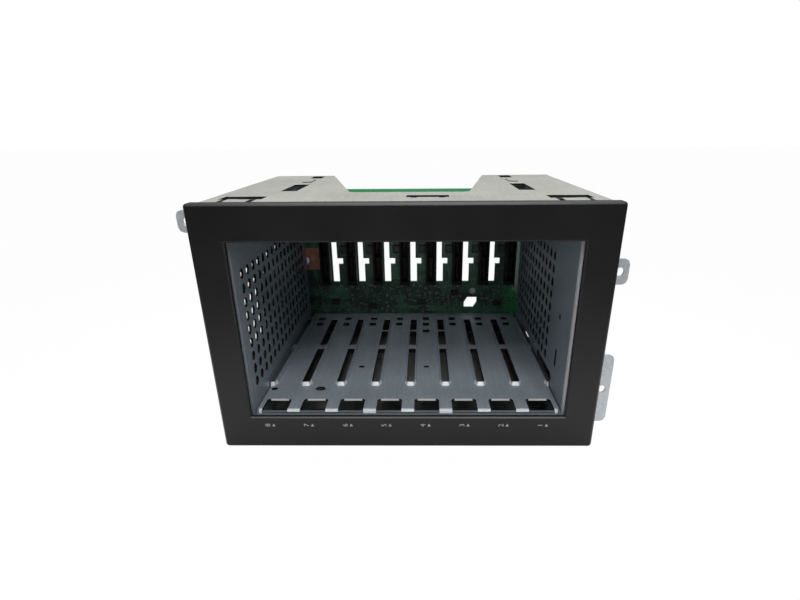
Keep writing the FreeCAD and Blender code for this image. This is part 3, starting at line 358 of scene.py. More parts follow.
# near-black cut faces: painted shade in vents, slots and openings
PAINTED_SHADE_EDGE = zinc_sheet("painted_shade_cut_edge", "#161718", "#242527", 0.5, 0.5)
PALE_RIM = filled_nylon("light_pipe_rim", "#2b3833", "#3a4a43")

for entry in frame["record"]["subparts"]:
    mesh = nodes[entry["node"]].data
    mesh.materials.clear()
    mesh.materials.append(FINISHES[entry["material_slot"]])


# ------------------------ shaping helpers
def link_piece(name, mesh, finish=None):
    """New object in the scene, with its finish where one is given."""
    piece = bpy.data.objects.new(name, mesh)
    bpy.context.scene.collection.objects.link(piece)
    if finish:
        mesh.materials.clear()
        mesh.materials.append(finish)
    return piece


def evaluated(holder):
    """The holder with its modifiers turned into a plain mesh."""
    bpy.context.view_layer.update()
    graph = bpy.context.evaluated_depsgraph_get()
    mesh = bpy.data.meshes.new_from_object(holder.evaluated_get(graph))
    holder.modifiers.clear()
    holder.data = mesh
    return holder


def smooth(mesh, angle=35):
    """Smooth shading over bends and edges, while big faces stay truly flat."""
    big_face = 2e-4  # square metres
    # the flags come second, since the first call clears them
    mesh.set_sharp_from_angle(angle=radians(angle))
    mesh.polygons.foreach_set("use_smooth", [face.area < big_face for face in mesh.polygons])


def dress(piece, slot_name, *replaced):
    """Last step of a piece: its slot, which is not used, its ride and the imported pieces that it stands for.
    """
    if replaced:
        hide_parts(*replaced)
    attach(piece, "root")
    return piece


def block(form, low, high):
    """Adds a closed box between two corners in metres."""
    made = bmesh.ops.create_cube(form, size=1.0)
    size = high - low
    middle = (low + high) / 2
    place = Matrix.Translation(middle) @ Matrix.Diagonal((size.x, size.y, size.z, 1.0))
    bmesh.ops.transform(form, matrix=place, verts=made["verts"])


def prism(form, outline, low_y, high_y):
    """Adds a closed bar along Y whose outline is given as (x, z) pairs in mm."""
    rings = [[form.verts.new(at(x, y, z)) for x, z in outline] for y in (low_y, high_y)]
    form.faces.new(rings[0])
    form.faces.new(rings[1][::-1])
    for index in range(len(outline)):
        form.faces.new((rings[0][index - 1], rings[0][index], rings[1][index], rings[1][index - 1]))


def packed_form(node_name):
    """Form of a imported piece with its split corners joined."""
    form = bmesh.new()
    form.from_mesh(nodes[node_name].data)
    bmesh.ops.remove_doubles(form, verts=form.verts, dist=1e-6)
    return form


def mesh_from(form, name):
    """Mesh of a finished form."""
    mesh = bpy.data.meshes.new(name)
    form.to_mesh(mesh)
    form.free()
    return mesh


def turned(name, profile, sides):
    """Round form about Z through (radius, height) pairs in mm that start and end on the axis."""
    form = bmesh.new()
    line = [form.verts.new((radius * MM, 0, height * MM)) for radius, height in profile]
    edges = [form.edges.new(pair) for pair in zip(line, line[1:])]
    bmesh.ops.spin(form, geom=line + edges, cent=(0, 0, 0), axis=(0, 0, 1), angle=2 * pi, steps=sides,
                   use_merge=True)
    bmesh.ops.remove_doubles(form, verts=form.verts, dist=1e-7)
    bmesh.ops.recalc_face_normals(form, faces=form.faces)
    mesh = mesh_from(form, name)
    smooth(mesh)
    return mesh


def new_tree(name, inputs):
    """Geometry node tree and the sockets of its inputs, which are given as (name, socket kind) pairs."""
    tree = bpy.data.node_groups.new(name, "GeometryNodeTree")
    tree.interface.new_socket(name="Geometry", in_out="INPUT", socket_type="NodeSocketGeometry")
    for label, kind in inputs:
        tree.interface.new_socket(name=label, in_out="INPUT", socket_type="NodeSocket" + kind)
    tree.interface.new_socket(name="Geometry", in_out="OUTPUT", socket_type="NodeSocketGeometry")
    return tree, add(tree, "NodeGroupInput").outputs


def finish_tree(tree, geometry, finish):
    """Ends a tree in real geometry with its material."""
    real = add(tree, "GeometryNodeRealizeInstances", {"Geometry": geometry})
    dressed = add(tree, "GeometryNodeSetMaterial", {"Geometry": real, "Material": finish})
    add(tree, "NodeGroupOutput", {0: dressed})
    return tree


def joined(tree, *parts):
    """Geometry of several nodes in one."""
    together = add(tree, "GeometryNodeJoinGeometry")
    for part in parts:
        tree.links.new(part.outputs[0], together.inputs[0])
    return together


def vector(tree, **axes):
    """Vector out of values for X, Y or Z."""
    return add(tree, "ShaderNodeCombineXYZ", axes)


def grown(tree, name, values, seed_mesh=None):
    """Object made by a tree from its named inputs."""
    holder = link_piece(name, seed_mesh or bpy.data.meshes.new(name))
    grower = holder.modifiers.new(name, "NODES")
    grower.node_group = tree
    for socket in tree.interface.items_tree:
        if socket.in_out == "INPUT" and socket.name in values:
            grower[socket.identifier] = values[socket.name]
    return evaluated(holder)


# ------------------------ repeated pieces on points
def placing_tree():
    """Sets one piece on every point, turned so that its Z axis follows the point's facing."""
    tree, given = new_tree("piece_on_points", [("Piece", "Object"), ("Finish", "Material")])
    piece = add(tree, "GeometryNodeObjectInfo", {"Object": given["Piece"]})
    facing = add(tree, "GeometryNodeInputNamedAttribute", {"Name": "facing"}, data_type="FLOAT_VECTOR")
    turn = add(tree, "FunctionNodeAlignRotationToVector", {"Vector": facing}, axis="Z")
    points = add(tree, "GeometryNodeInstanceOnPoints",
                 {"Points": given["Geometry"], "Instance": piece.outputs["Geometry"], "Rotation": turn})
    return finish_tree(tree, points, given["Finish"])


PLACING = placing_tree()


def placed(name, piece_mesh, spots, finish, slot_name, *replaced):
    """One dressed piece with the mesh at each spot, given as (point, direction) pairs."""
    pattern = bpy.data.objects.new(name + "_pattern", piece_mesh)
    seeds = bpy.data.meshes.new(name + "_spots")
    seeds.from_pydata([point for point, direction in spots], [], [])
    facing = seeds.attributes.new("facing", "FLOAT_VECTOR", "POINT")
    facing.data.foreach_set("vector", [value for point, direction in spots for value in direction])
    made = grown(PLACING, name, {"Piece": pattern, "Finish": finish}, seeds)
    bpy.data.objects.remove(pattern)
    return dress(made, slot_name, *replaced)


# ------------------------ inner walls
VENT_SIDES = 16
FOLD_STEPS = 6
FOOT_REACH = SHEET + 4.5
WALL_BEND = 1.5
# cuts of the right wall along y and z: middles and radius of the round ones, edges of the square one
INDEX_SLOT = ((27.0, 28.4), (27.0, 34.6), 1.4)
PILOT_HOLE = ((26.6, 51.4), 1.4)
GUIDE_SLOT = ((64.0, 19.1), (34.0, 19.1), 2.1)
FOOT_SLOT = (90.0, 112.0, 16.0, 18.4)


def vented_web_tree():
    """Flat sheet with a grid of round holes, stood up in the wall's plane."""
    tree, given = new_tree("vented_web", [
        ("Length", "Float"), ("Height", "Float"), ("Hole radius", "Float"), ("Column pitch", "Float"),
        ("Row pitch", "Float"), ("Columns", "Int"), ("Rows", "Int"), ("First hole", "Vector"),
        ("Corner", "Vector"), ("Thickness", "Float")])
    edge = add(tree, "GeometryNodeCurvePrimitiveQuadrilateral",
               {"Width": given["Length"], "Height": given["Height"]})
    middle = add(tree, "ShaderNodeVectorMath",
                 {0: vector(tree, X=given["Length"], Y=given["Height"]), "Scale": 0.5}, operation="SCALE")
    sheet = add(tree, "GeometryNodeTransform", {"Geometry": edge, "Translation": middle})
    columns = add(tree, "GeometryNodeMeshLine",
                  {"Count": given["Columns"], "Start Location": given["First hole"],
                   "Offset": vector(tree, X=given["Column pitch"])})
    rows = add(tree, "GeometryNodeMeshLine",
               {"Count": given["Rows"], "Offset": vector(tree, Y=given["Row pitch"])})
    ring = add(tree, "GeometryNodeCurvePrimitiveCircle",
               {"Resolution": VENT_SIDES, "Radius": given["Hole radius"]})
    column = add(tree, "GeometryNodeInstanceOnPoints", {"Points": rows, "Instance": ring})
    grid = add(tree, "GeometryNodeInstanceOnPoints", {"Points": columns, "Instance": column})
    holes = add(tree, "GeometryNodeRealizeInstances", {"Geometry": grid})
    more = add(tree, "GeometryNodeMeshToCurve", {"Mesh": given["Geometry"]})
    face = add(tree, "GeometryNodeFillCurve", {"Curve": joined(tree, sheet, holes, more)})
    raised = add(tree, "GeometryNodeExtrudeMesh",
                 {"Mesh": face, "Offset": vector(tree, Z=given["Thickness"]),
                  "Offset Scale": 1.0, "Individual": False})
    back = add(tree, "GeometryNodeFlipFaces", {"Mesh": face})
    closed = add(tree, "GeometryNodeMergeByDistance",
                 {"Geometry": joined(tree, raised, back), "Distance": 1e-6})
    stood = add(tree, "GeometryNodeTransform",
                {"Geometry": closed, "Translation": given["Corner"],
                 "Rotation": (radians(90), 0, radians(90))})
    return finish_tree(tree, stood, FINISHES["inner_steel"])


VENTED_WEB = vented_web_tree()


def loop_points(form, points):
    """Adds a closed line of edges through flat points in metres."""
    corners = [form.verts.new((x, z, 0)) for x, z in points]
    for index, corner in enumerate(corners):
        form.edges.new((corners[index - 1], corner))


def refinish(piece, finish, chosen):
    """Gives another finish to the faces that chosen picks by normal and middle, in mm from the front face."""
    piece.data.materials.append(finish)
    slot = len(piece.data.materials) - 1
    for face in piece.data.polygons:
        x, y, z = face.center / MM
        if chosen(face.normal, x, y - FRONT / MM, z):
            face.material_index = slot
    return piece


def arc(middle, radius, start, turn, steps):
    """Points on a round line about a middle, from the angle start through turn."""
    angles = [start + turn * step / steps for step in range(steps + 1)]
    return [(middle[0] + radius * cos(angle), middle[1] + radius * sin(angle)) for angle in angles]


def round_slot(first, second, radius, start):
    """Outline of a slot with round ends, whose first end begins at the angle start."""
    return arc(first, radius, start, pi, 8) + arc(second, radius, start + pi, pi, 8)


def index_cuts(low_y, low_z):
    """Index slot, pilot hole and the two low slots of the right wall, as flat outlines."""
    form = bmesh.new()
    pilot = arc(*PILOT_HOLE, 0, 2 * pi, 14)[:-1]
    front, rear, bottom, top = FOOT_SLOT
    bottom = max(bottom, low_z + 0.2)
    foot_slot = [(front, bottom), (rear, bottom), (rear, top), (front, top)]
    for outline in (round_slot(*INDEX_SLOT, -pi), pilot, foot_slot, round_slot(*GUIDE_SLOT, -pi / 2)):
        loop_points(form, [((y - low_y) * MM, (z - low_z) * MM) for y, z in outline])
    return mesh_from(form, "index_cuts")


def folded_foot(form, inner_x, outward, web_end, foot_face, low_y, high_y):
    """Adds the bend and foot at one end of a wall: web_end is where the flat web stops."""
    up = 1 if foot_face > web_end else -1
    outer = abs(foot_face - web_end)
    inner = outer - SHEET
    angles = [pi / 2 * step / FOLD_STEPS for step in range(FOLD_STEPS + 1)]
    toe = inner_x + outward * FOOT_REACH
    outline = [(inner_x + outward * outer * (1 - cos(angle)), web_end + up * outer * sin(angle))
               for angle in angles]
    outline += [(toe, foot_face), (toe, foot_face - up * SHEET)]
    outline += [(inner_x + outward * (outer - inner * cos(angle)), web_end + up * inner * sin(angle))
                for angle in reversed(angles)]
    prism(form, outline, low_y, high_y)


def inner_wall(node_name, skipped):
    """Bay wall with round vents, less the skipped columns, bent feet and a flange behind the frame."""
    low, high = ends(node_name)
    side = -1 if low.x < 0 else 1
    inner_x = high.x if side < 0 else low.x
    web_low = low.z + WALL_BEND
    web_high = high.z - WALL_BEND
    first_y = VENT_FIRST[0] + VENT_PITCH[0] * skipped
    values = {
        "Length": (high.y - low.y) * MM, "Height": (web_high - web_low) * MM, "Hole radius": VENT_RADIUS * MM,
        "Column pitch": VENT_PITCH[0] * MM, "Row pitch": VENT_PITCH[1] * MM,
        "Columns": VENT_COLUMNS - skipped, "Rows": VENT_ROWS, "Thickness": SHEET * MM,
        "First hole": Vector(((first_y - low.y) * MM, (VENT_FIRST[1] - web_low) * MM, 0)),
        "Corner": at(min(inner_x, inner_x + side * SHEET), low.y, web_low),
    }
    extra = index_cuts(low.y, web_low) if skipped else None
    wall = grown(VENTED_WEB, node_name + "_vented", values, extra)
    form = bmesh.new()
    form.from_mesh(wall.data)
    folded_foot(form, inner_x, side, web_low, low.z, low.y, high.y)
    folded_foot(form, inner_x, side, web_high, high.z, low.y, high.y)
    flange = (inner_x + side * SHEET, inner_x + side * (high.x - low.x))
    block(form, at(min(flange), low.y, low.z + 2 * WALL_BEND),
          at(max(flange), low.y + SHEET, high.z - 2 * WALL_BEND))
    bmesh.ops.recalc_face_normals(form, faces=form.faces)
    form.to_mesh(wall.data)
    form.free()
    wall.data.materials.clear()
    # the right wall takes the finish with the painted highlight on its front edge
    wall.data.materials.append(PAINTED_HIGHLIGHT_WALL if side > 0 else FINISHES["inner_steel"])
    smooth(wall.data)

    def vent_rim(normal, x, y, z):
        """Cut faces inside the web, painted dark as shade in the vents."""
        in_web = web_low + 0.1 < z < web_high - 0.1 and low.y + 1 < y < high.y - 1
        return abs(normal.x) < 0.3 and in_web and abs(x) < abs(inner_x) + SHEET

    return dress(refinish(wall, PAINTED_SHADE_EDGE, vent_rim), "inner_steel", node_name)


inner_wall("left_inner_wall", 0)
inner_wall("right_inner_wall", RIGHT_SKIPPED)


# ------------------------ pressed and moulded pieces
INK_DEPTH = 0.02
TOP_SHEET_LOW = ends("top_plate")[1].z - SHEET - 0.1
TOP_FOLD_X = 78
# the floor: above FLOOR_LOW lies its sheet with the bends, above FLAT_LOW the sheet alone
FLOOR_LOW = 13.5
FLAT_LOW = 14.0
LIP_REAR = 8.0
NOTCH_LOW = 13.1
NOTCH_LIFTED = 14.2
NOTCH_CORNERS = 15.0
NOTCH_REAR = 20.5
NOSES = (31.0, 36.0)
LIP_BLOCK = ((-5.6, 6.2, 13.9), (5.6, 7.1, 15.0))
# rows of its points that move towards the mouth: from this depth, to this depth, by this step
FLOOR_MOVES = ((32.9, 37.0, 1.8), (81.9, 82.1, 5.6), (85.3, 85.5, 2.8))


def room_for_ink(form):
    """Sets the frame's face back by the thickness of the printed marks."""
    for vertex in form.verts:
        vertex.co.y = max(vertex.co.y, FRONT + INK_DEPTH * MM)


def finer_floor(form):
    """Lifts the release notches' lower edge to the bend of the lip, sets the rails' noses nearer to the mouth
    and widens the bridges across their slots."""
    for vertex in form.verts:
        depth, height = (vertex.co.y - FRONT) / MM, vertex.co.z / MM
        if depth < LIP_REAR and abs(height - NOTCH_LOW) < 0.2:
            vertex.co.z = NOTCH_LIFTED * MM
        for low_y, high_y, step in FLOOR_MOVES:
            if low_y < depth < high_y and height > FLOOR_LOW:
                vertex.co.y -= step * MM


def broken_edges(node_name, piece_name, width_mm, reshape=None):
    """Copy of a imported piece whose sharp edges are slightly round, as pressing or moulding leaves them."""
    form = packed_form(node_name)
    if reshape:
        reshape(form)
    bmesh.ops.dissolve_limit(form, angle_limit=radians(1), verts=form.verts, edges=form.edges)
    mesh = mesh_from(form, piece_name)
    mesh.materials.append(nodes[node_name].data.materials[0])
    piece = link_piece(piece_name, mesh)
    edge = piece.modifiers.new("edge", "BEVEL")
    edge.width = width_mm * MM
    edge.segments = 2
    edge.limit_method = "ANGLE"
    edge.angle_limit = radians(30)
    evaluated(piece)
    smooth(piece.data, 20)
    return piece


def faces_mouth(normal, most_aside):
    """Whether a steep face looks to the mouth, and no more than most_aside to the left or right."""
    return normal.y < -0.35 and abs(normal.z) < 0.9 and abs(normal.x) < most_aside


def bend_highlight(normal, x, y, z):
    """Bend of the front lip and noses of the rails, which get a painted highlight."""
    if y < LIP_REAR:
        return z > FLOOR_LOW and normal.y < -0.25 and normal.z > 0.25
    return faces_mouth(normal, 0.85) and NOSES[0] < y < NOSES[1]


def notch_edge(normal, x, y, z):
    """Straight rear edges of the release notches, which get a painted highlight."""
    return faces_mouth(normal, 0.2) and NOTCH_CORNERS < y < NOTCH_REAR


def floor_cut(normal, x, y, z):
    """Cut faces of the floor, painted dark as shade: windows, slots, the notches' sides and the upper edge of
    the lip in them.
    """
    if y > NOTCH_REAR:
        return abs(normal.z) < 0.25 and z > FLAT_LOW and not bend_highlight(normal, x, y, z)
    aside = 0.9 if y < NOTCH_CORNERS else 0.25
    level_edge = normal.z > 0.99 and y < LIP_REAR and NOTCH_LIFTED - 0.1 < z < LIP_BLOCK[1][2] + 0.05
    return level_edge or z > FLOOR_LOW and abs(normal.x) > aside


def top_cut(normal, x, y, z):
    """Cut faces of the openings in the top sheet, painted dark as shade."""
    return abs(normal.z) < 0.25 and z > TOP_SHEET_LOW and abs(x) < TOP_FOLD_X


def raised_lip(piece):
    """Carries the front lip up to the floor's level inside the release notches."""
    form = bmesh.new()
    form.from_mesh(piece.data)
    for x in BAY_CENTRES:
        block(form, *(at(x + dx, y, z) for dx, y, z in LIP_BLOCK))
    form.to_mesh(piece.data)
    form.free()
    return piece


floor_plate = raised_lip(broken_edges("floor_guide_plate", "floor_guide_pressed", 0.2, finer_floor))
# painted highlights on the lip's bends, the noses and the notch edges, and painted shade on the cut faces
for chosen_finish, chooser in ((PAINTED_BEND_HIGHLIGHT, bend_highlight), (PAINTED_EDGE_HIGHLIGHT, notch_edge), (PAINTED_SHADE_EDGE, floor_cut)):
    refinish(floor_plate, chosen_finish, chooser)
dress(floor_plate, "inner_steel", "floor_guide_plate")
dress(broken_edges("ceiling_guide_plate", "ceiling_guide_pressed", 0.2), "inner_steel", "ceiling_guide_plate")
dress(broken_edges("bezel_frame", "front_frame_moulded", 0.25, room_for_ink), "frame_plastic", "bezel_frame")
top_sheet = refinish(broken_edges("top_plate", "top_plate_pressed", 0.1), PAINTED_SHADE_EDGE, top_cut)
dress(top_sheet, "outer_steel", "top_plate")
for slot_name, edge_mm, node_names in (
        ("outer_steel", 0.18, ("bottom_panel", "left_outer_panel", "right_outer_panel")),
        ("ear_steel", 0.2, ("left_ear", "right_upper_ear", "right_lower_ear"))):
    for node_name in node_names:
        dress(broken_edges(node_name, node_name + "_pressed", edge_mm), slot_name, node_name)


# ------------------------ bay marks on the lower bar
def bay_marks():
    """Small numerals 8 to 1 that read upwards, each with a triangle towards its bay."""
    form = bmesh.new()
    level = LOWER_BAR - 3.9
    # the text's own X goes up the bar, its Y to the left, and its face to the front
    stand = Matrix(((0, -1, 0), (0, 0, -1), (1, 0, 0))).to_4x4()
    for index, x in enumerate(BAY_CENTRES):
        text = bpy.data.curves.new("bay_numeral", "FONT")
        text.body = str(BAY_COUNT - index)
        text.size = 3.1 * MM
        text.extrude = INK_DEPTH * MM
        text.align_x = "CENTER"
        text.align_y = "CENTER"
        holder = link_piece("bay_numeral", text)
        bpy.context.view_layer.update()
        mesh = bpy.data.meshes.new_from_object(holder)
        mesh.transform(Matrix.Translation(at(x - 1.6, INK_DEPTH, level)) @ stand)
        form.from_mesh(mesh)
        bpy.data.objects.remove(holder)
        middle, half = x + 0.95, 0.7
        triangle = [(middle - half, level - 0.6), (middle + half, level - 0.6), (middle, level + 0.75)]
        prism(form, triangle, 0, 2 * INK_DEPTH)
    bmesh.ops.recalc_face_normals(form, faces=form.faces)
    return dress(link_piece("bay_marks", mesh_from(form, "bay_marks"), INK), "frame_plastic")


bay_marks()


# ------------------------ fasteners
def crossed_head(name, radius, height, recess, shank_radius, shank_length):
    """Pan-head screw with a cross recess, its seat at the origin and its top towards Z."""
    pitch = 0.5
    bevel = 0.3
    profile = [(0, -shank_length), (shank_radius * 0.7, -shank_length)]
    for turn in range(int((shank_length - 2 * bevel) / pitch)):
        low = bevel - shank_length + turn * pitch
        profile += [(shank_radius * 0.86, low), (shank_radius, low + pitch / 2)]
    profile += [(shank_radius, 0), (radius, 0), (radius, height * 0.25), (radius * 0.93, height * 0.62),
                (radius * 0.7, height * 0.9), (radius * 0.35, height), (0, height)]
    head = link_piece(name, turned(name, profile, 28))
    form = bmesh.new()
    arm = recess * 0.26
    for half_x, half_y in ((recess, arm), (arm, recess)):
        block(form, Vector((-half_x, -half_y, height * 0.35)) * MM, Vector((half_x, half_y, height * 2)) * MM)
    cross = link_piece(name + "_cross", mesh_from(form, name + "_cross"))
    cut = head.modifiers.new("cross", "BOOLEAN")
    cut.object = cross
    cut.solver = "EXACT"
    cut.use_self = True
    evaluated(head)
    bpy.data.objects.remove(cross)
    mesh = head.data
    bpy.data.objects.remove(head)
    smooth(mesh)
    return mesh


def domed_rivet(grip):
    """Low dome with a dimpled middle on a plain shank with a bevelled tail."""
    tail = grip + 0.9
    profile = [(0, -tail), (0.9, -tail), (1.2, -tail + 0.25), (1.2, 0), (2.2, 0), (2.2, 0.06), (2.05, 0.3),
               (1.65, 0.56), (1.15, 0.72), (0.8, 0.78), (0.62, 0.6), (0, 0.52)]
    return turned("domed_rivet", profile, 20)


def spots_of(node_name, seat_in):
    """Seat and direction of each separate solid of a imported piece, as seat_in finds them from its box."""
    form = packed_form(node_name)
    seen = set()
    found = []
    for first in form.verts:
        if first in seen:
            continue
        seen.add(first)
        group = [first]
        for vertex in group:
            for edge in vertex.link_edges:
                other = edge.other_vert(vertex)
                if other not in seen:
                    seen.add(other)
                    group.append(other)
        low = Vector([min(vertex.co[axis] for vertex in group) for axis in range(3)])
        high = Vector([max(vertex.co[axis] for vertex in group) for axis in range(3)])
        found.append(seat_in(low, high))
    form.free()
    return found


def rivet_spot(low, high):
    """Seat of a side rivet's head and the way it faces, away from the cage's middle."""
    middle = (low + high) / 2
    side = -1 if middle.x < 0 else 1
    tip = high.x if side > 0 else low.x
    head = 0.8
    return Vector((tip - side * head * MM, middle.y, middle.z)), Vector((side, 0, 0))


def screw_spot(low, high):
    """Seat of a board screw's head on the board's rear face."""
    middle = (low + high) / 2
    return Vector((middle.x, BOARD_REAR * MM + FRONT, middle.z)), TO_REAR


def ground_spot(low, high):
    """Seat of the ground screw's head, which faces the mouth."""
    middle = (low + high) / 2
    head = 1.6
    return Vector((middle.x, low.y + head * MM, middle.z)), TO_FRONT


for rivet_node, grip in (("side_rivets", 2.0), ("ear_rivets", 2.2)):
    placed(rivet_node + "_domed", domed_rivet(grip), spots_of(rivet_node, rivet_spot),
           FINISHES["fastener_steel"], "fastener_steel", rivet_node)
for screw_node, form_name, sizes, seat in (
        ("backplane_screws", "board_screw", (2.8, 1.9, 1.6, 1.45, 4.0), screw_spot),
        ("ground_screw", "ground_screw_form", (3.9, 1.6, 1.9, 1.45, 4.9), ground_spot)):
    placed(screw_node + "_threaded", crossed_head(form_name, *sizes), spots_of(screw_node, seat),
           FINISHES["fastener_steel"], "fastener_steel", screw_node)


# ------------------------ small parts soldered to the board
SUNK = -0.05  # soldered parts reach into the board, so that no gap shows


def box_mesh(name, *corner_pairs):
    """Boxes in one mesh, each given by two corners in mm."""
    form = bmesh.new()
    for low, high in corner_pairs:
        block(form, Vector(low) * MM, Vector(high) * MM)
    return mesh_from(form, name)


def on_board(x, z, towards):
    """Point on the board's front or rear face."""
    return at(x, BOARD_FRONT if towards.y < 0 else BOARD_REAR, z), towards


def keep_outs(towards):
    """Areas of one face that bigger pieces or openings take, as (x0, x1, z0, z1) in mm."""
    # the key port with the test land, and the air slots
    areas = [(33.0, 44.0, 17.0, 34.0)] + [(edge - 2.2, edge + 6.0, 35.5, 82.0) for edge in BAY_EDGES]
    names = ["ground_pad", "ground_screw"] + ["drive_connector_%d" % (bay + 1) for bay in range(BAY_COUNT)]
    if towards.y > 0:
        names = ["ground_nut", "power_connector", "data_port_left", "data_port_right", "controller_chip"]
        # the cans, the sockets' solder tails, the flanges at both ends and the lower screws
        areas += [(x - 3.4, x + 3.4, CAPACITOR_Z - 3.4, CAPACITOR_Z + 3.4) for x in CAPACITOR_X]
        areas += [(bay + 0.9, bay + 5.6, 34.0, 80.0) for bay in BAY_CENTRES]
        areas += [(-78.0, -69.0, 0, 96), (69.0, 78.0, 0, 96)]
        areas += [(side - 3.6, side + 3.6, 6.4, 13.8) for side in (-34, 34)]
    for name in names:
        low, high = ends(name)
        areas.append((low.x, high.x, low.z, high.z))
    return areas


def scattered(towards, zone, count, size, seed):
    """Free middles for small parts of a size in a zone (x0, x1, z0, z1), on a half-millimetre grid."""
    dice = Random(seed)
    taken = keep_outs(towards)
    spots = []
    half = size / 2 + 0.25
    tries = 12
    for attempt in range(count * tries):
        x = round(dice.uniform(zone[0], zone[1]) * 2) / 2
        z = round(dice.uniform(zone[2], zone[3]) * 2) / 2
        clear = all(x + half < x0 or x - half > x1 or z + half < z0 or z - half > z1
                    for x0, x1, z0, z1 in taken)
        if clear and len(spots) < count:
            taken.append((x - half, x + half, z - half, z + half))
            spots.append((x, z))
    return spots


def two_ended_parts():
    """Resistors and capacitors with tinned ends, level or upright, on both faces."""
    zones = ((TO_FRONT, (-67, 67, 16.5, 35), 150, 3), (TO_FRONT, (-66, 66, 82.5, 92.5), 26, 5),
             (TO_REAR, (-67, 67, 5, 34.5), 150, 7), (TO_REAR, (-67, 67, 82.5, 92), 60, 9),
             (TO_REAR, (-67, 67, 36, 81), 60, 11))
    for label, length, width in (("level", 2.0, 1.2), ("upright", 1.2, 2.0)):
        level = label == "level"
        spots = []
        for towards, zone, count, seed in zones:
            found = scattered(towards, zone, count, 2.2, seed)
            spots += [on_board(x, z, towards) for x, z in found[0 if level else 1::2]]
        half_x, half_y = length / 2, width / 2
        cap_x, cap_y = (0.35, half_y) if level else (half_x, 0.35)
        inner_x, inner_y = half_x * 0.97, half_y * 0.97
        body = box_mesh("part_body", ((-inner_x, -inner_y, SUNK), (inner_x, inner_y, 0.72)))
        caps = []
        for side in (-1, 1):
            x, y = side * (half_x - cap_x), side * (half_y - cap_y)
            caps.append(((x - cap_x, y - cap_y, SUNK), (x + cap_x, y + cap_y, 0.76)))
        placed("parts_%s_bodies" % label, body, spots, CERAMIC, "board")
        placed("parts_%s_ends" % label, box_mesh("part_ends", *caps), spots, DULL_TIN, "board")


def legged_chips():
    """Small logic chips: a resin body with a row of tinned legs on both long sides."""
    at_front = ((-52, 23), (-27, 20), (6, 23), (27.5, 29), (56, 22))
    at_rear = ((-61, 88), (-31, 87.5), (2, 88), (34, 87.5), (60, 88), (44, 14))
    spots = [on_board(x, z, TO_FRONT) for x, z in at_front] + [on_board(x, z, TO_REAR) for x, z in at_rear]
    body = box_mesh("logic_body", ((-2.6, -1.9, 0.15), (2.6, 1.9, 1.5)))
    legs = []
    for step in range(4):
        x = -1.9 + step * 1.27
        for side in (-1, 1):
            inner, outer = sorted((side * 1.85, side * 2.3))
            heel, toe = sorted((side * 2.3, side * 3.0))
            legs.append(((x - 0.2, inner, 0.1), (x + 0.2, outer, 0.8)))
            legs.append(((x - 0.2, heel, SUNK), (x + 0.2, toe, 0.16)))
    placed("logic_chip_bodies", body, spots, FINISHES["chip_resin"], "board")
    placed("logic_chip_legs", box_mesh("logic_legs", *legs), spots, DULL_TIN, "board")


def solder_points():
    """Tinned vias, solder tails of sockets, power header and data ports, and the row at the right end."""
    via = turned("via", [(0, SUNK), (0.42, SUNK), (0.42, 0.03), (0.2, 0.05), (0, 0.02)], 10)
    vias = []
    for towards, seed in ((TO_FRONT, 21), (TO_REAR, 22)):
        found = scattered(towards, (-67, 67, 5, 93), 190, 0.9, seed)
        vias += [on_board(x, z, towards) for x, z in found]
    placed("vias", via, vias, DULL_TIN, "board")
    profile = [(0, SUNK), (0.75, SUNK), (0.6, 0.2), (0.35, 0.55), (0.28, 1.1), (0, 1.15)]
    tail = turned("solder_tail", profile, 10)
    tails = []
    for middle in BAY_CENTRES:
        for step in range(22):
            tails.append(on_board(middle + 2.45 + 1.6 * (step % 2), 38.2 + 1.83 * step, TO_REAR))
    tails += [on_board(x, z, TO_FRONT) for x, z in POWER_PINS]
    for side in DATA_PORT_X:
        for column in range(13):
            tails.append(on_board(side - 9 + 1.5 * column, 23.4 + 1.6 * (column % 2), TO_FRONT))
    placed("solder_tails", tail, tails, DULL_TIN, "board")
    bead = turned("solder_bead", [(0, SUNK), (0.62, SUNK), (0.55, 0.2), (0.3, 0.38), (0, 0.42)], 12)
    beads = [on_board(69.5, 18 + 3.7 * step, TO_FRONT) for step in range(17)]
    placed("edge_solder_beads", bead, beads, TIN, "board")


def board_fittings():
    """Rims round the light pipes, a round test land, and the contacts inside the sockets."""
    rims = [on_board(edge + LED_OFFSET + LED_WIDTH / 2, LED_Z, TO_FRONT) for edge in BAY_EDGES[1:-1]]
    outer, inner, high = 2.5, 1.82, 0.9
    ring = box_mesh("rim", ((-outer, -outer, SUNK), (outer, -inner, high)),
                    ((-outer, inner, SUNK), (outer, outer, high)),
                    ((-outer, -inner, SUNK), (-inner, inner, high)),
                    ((inner, -inner, SUNK), (outer, inner, high)))
    placed("light_pipe_rims", ring, rims, PALE_RIM, "board")
    land = turned("test_land", [(0, SUNK), (2.0, SUNK), (2.0, 0.05), (0, 0.06)], 24)
    placed("test_land", land, [on_board(39.5, 30.0, TO_FRONT)], TIN, "board")
    contact = box_mesh("contact", ((-0.1, -0.3, 0), (0.1, 0.3, 1.2)))
    pitch = 1.27
    levels = [42.0 + pitch * step for step in range(9)] + [58.4 + pitch * step for step in range(11)]
    contacts = [(at(middle + 3.2 + side * 0.7, BOARD_FRONT - 2.6, z), TO_FRONT)
                for middle in BAY_CENTRES for side in (-1, 1) for z in levels]
    placed("socket_contacts", contact, contacts, GOLD, "connector_plastic")


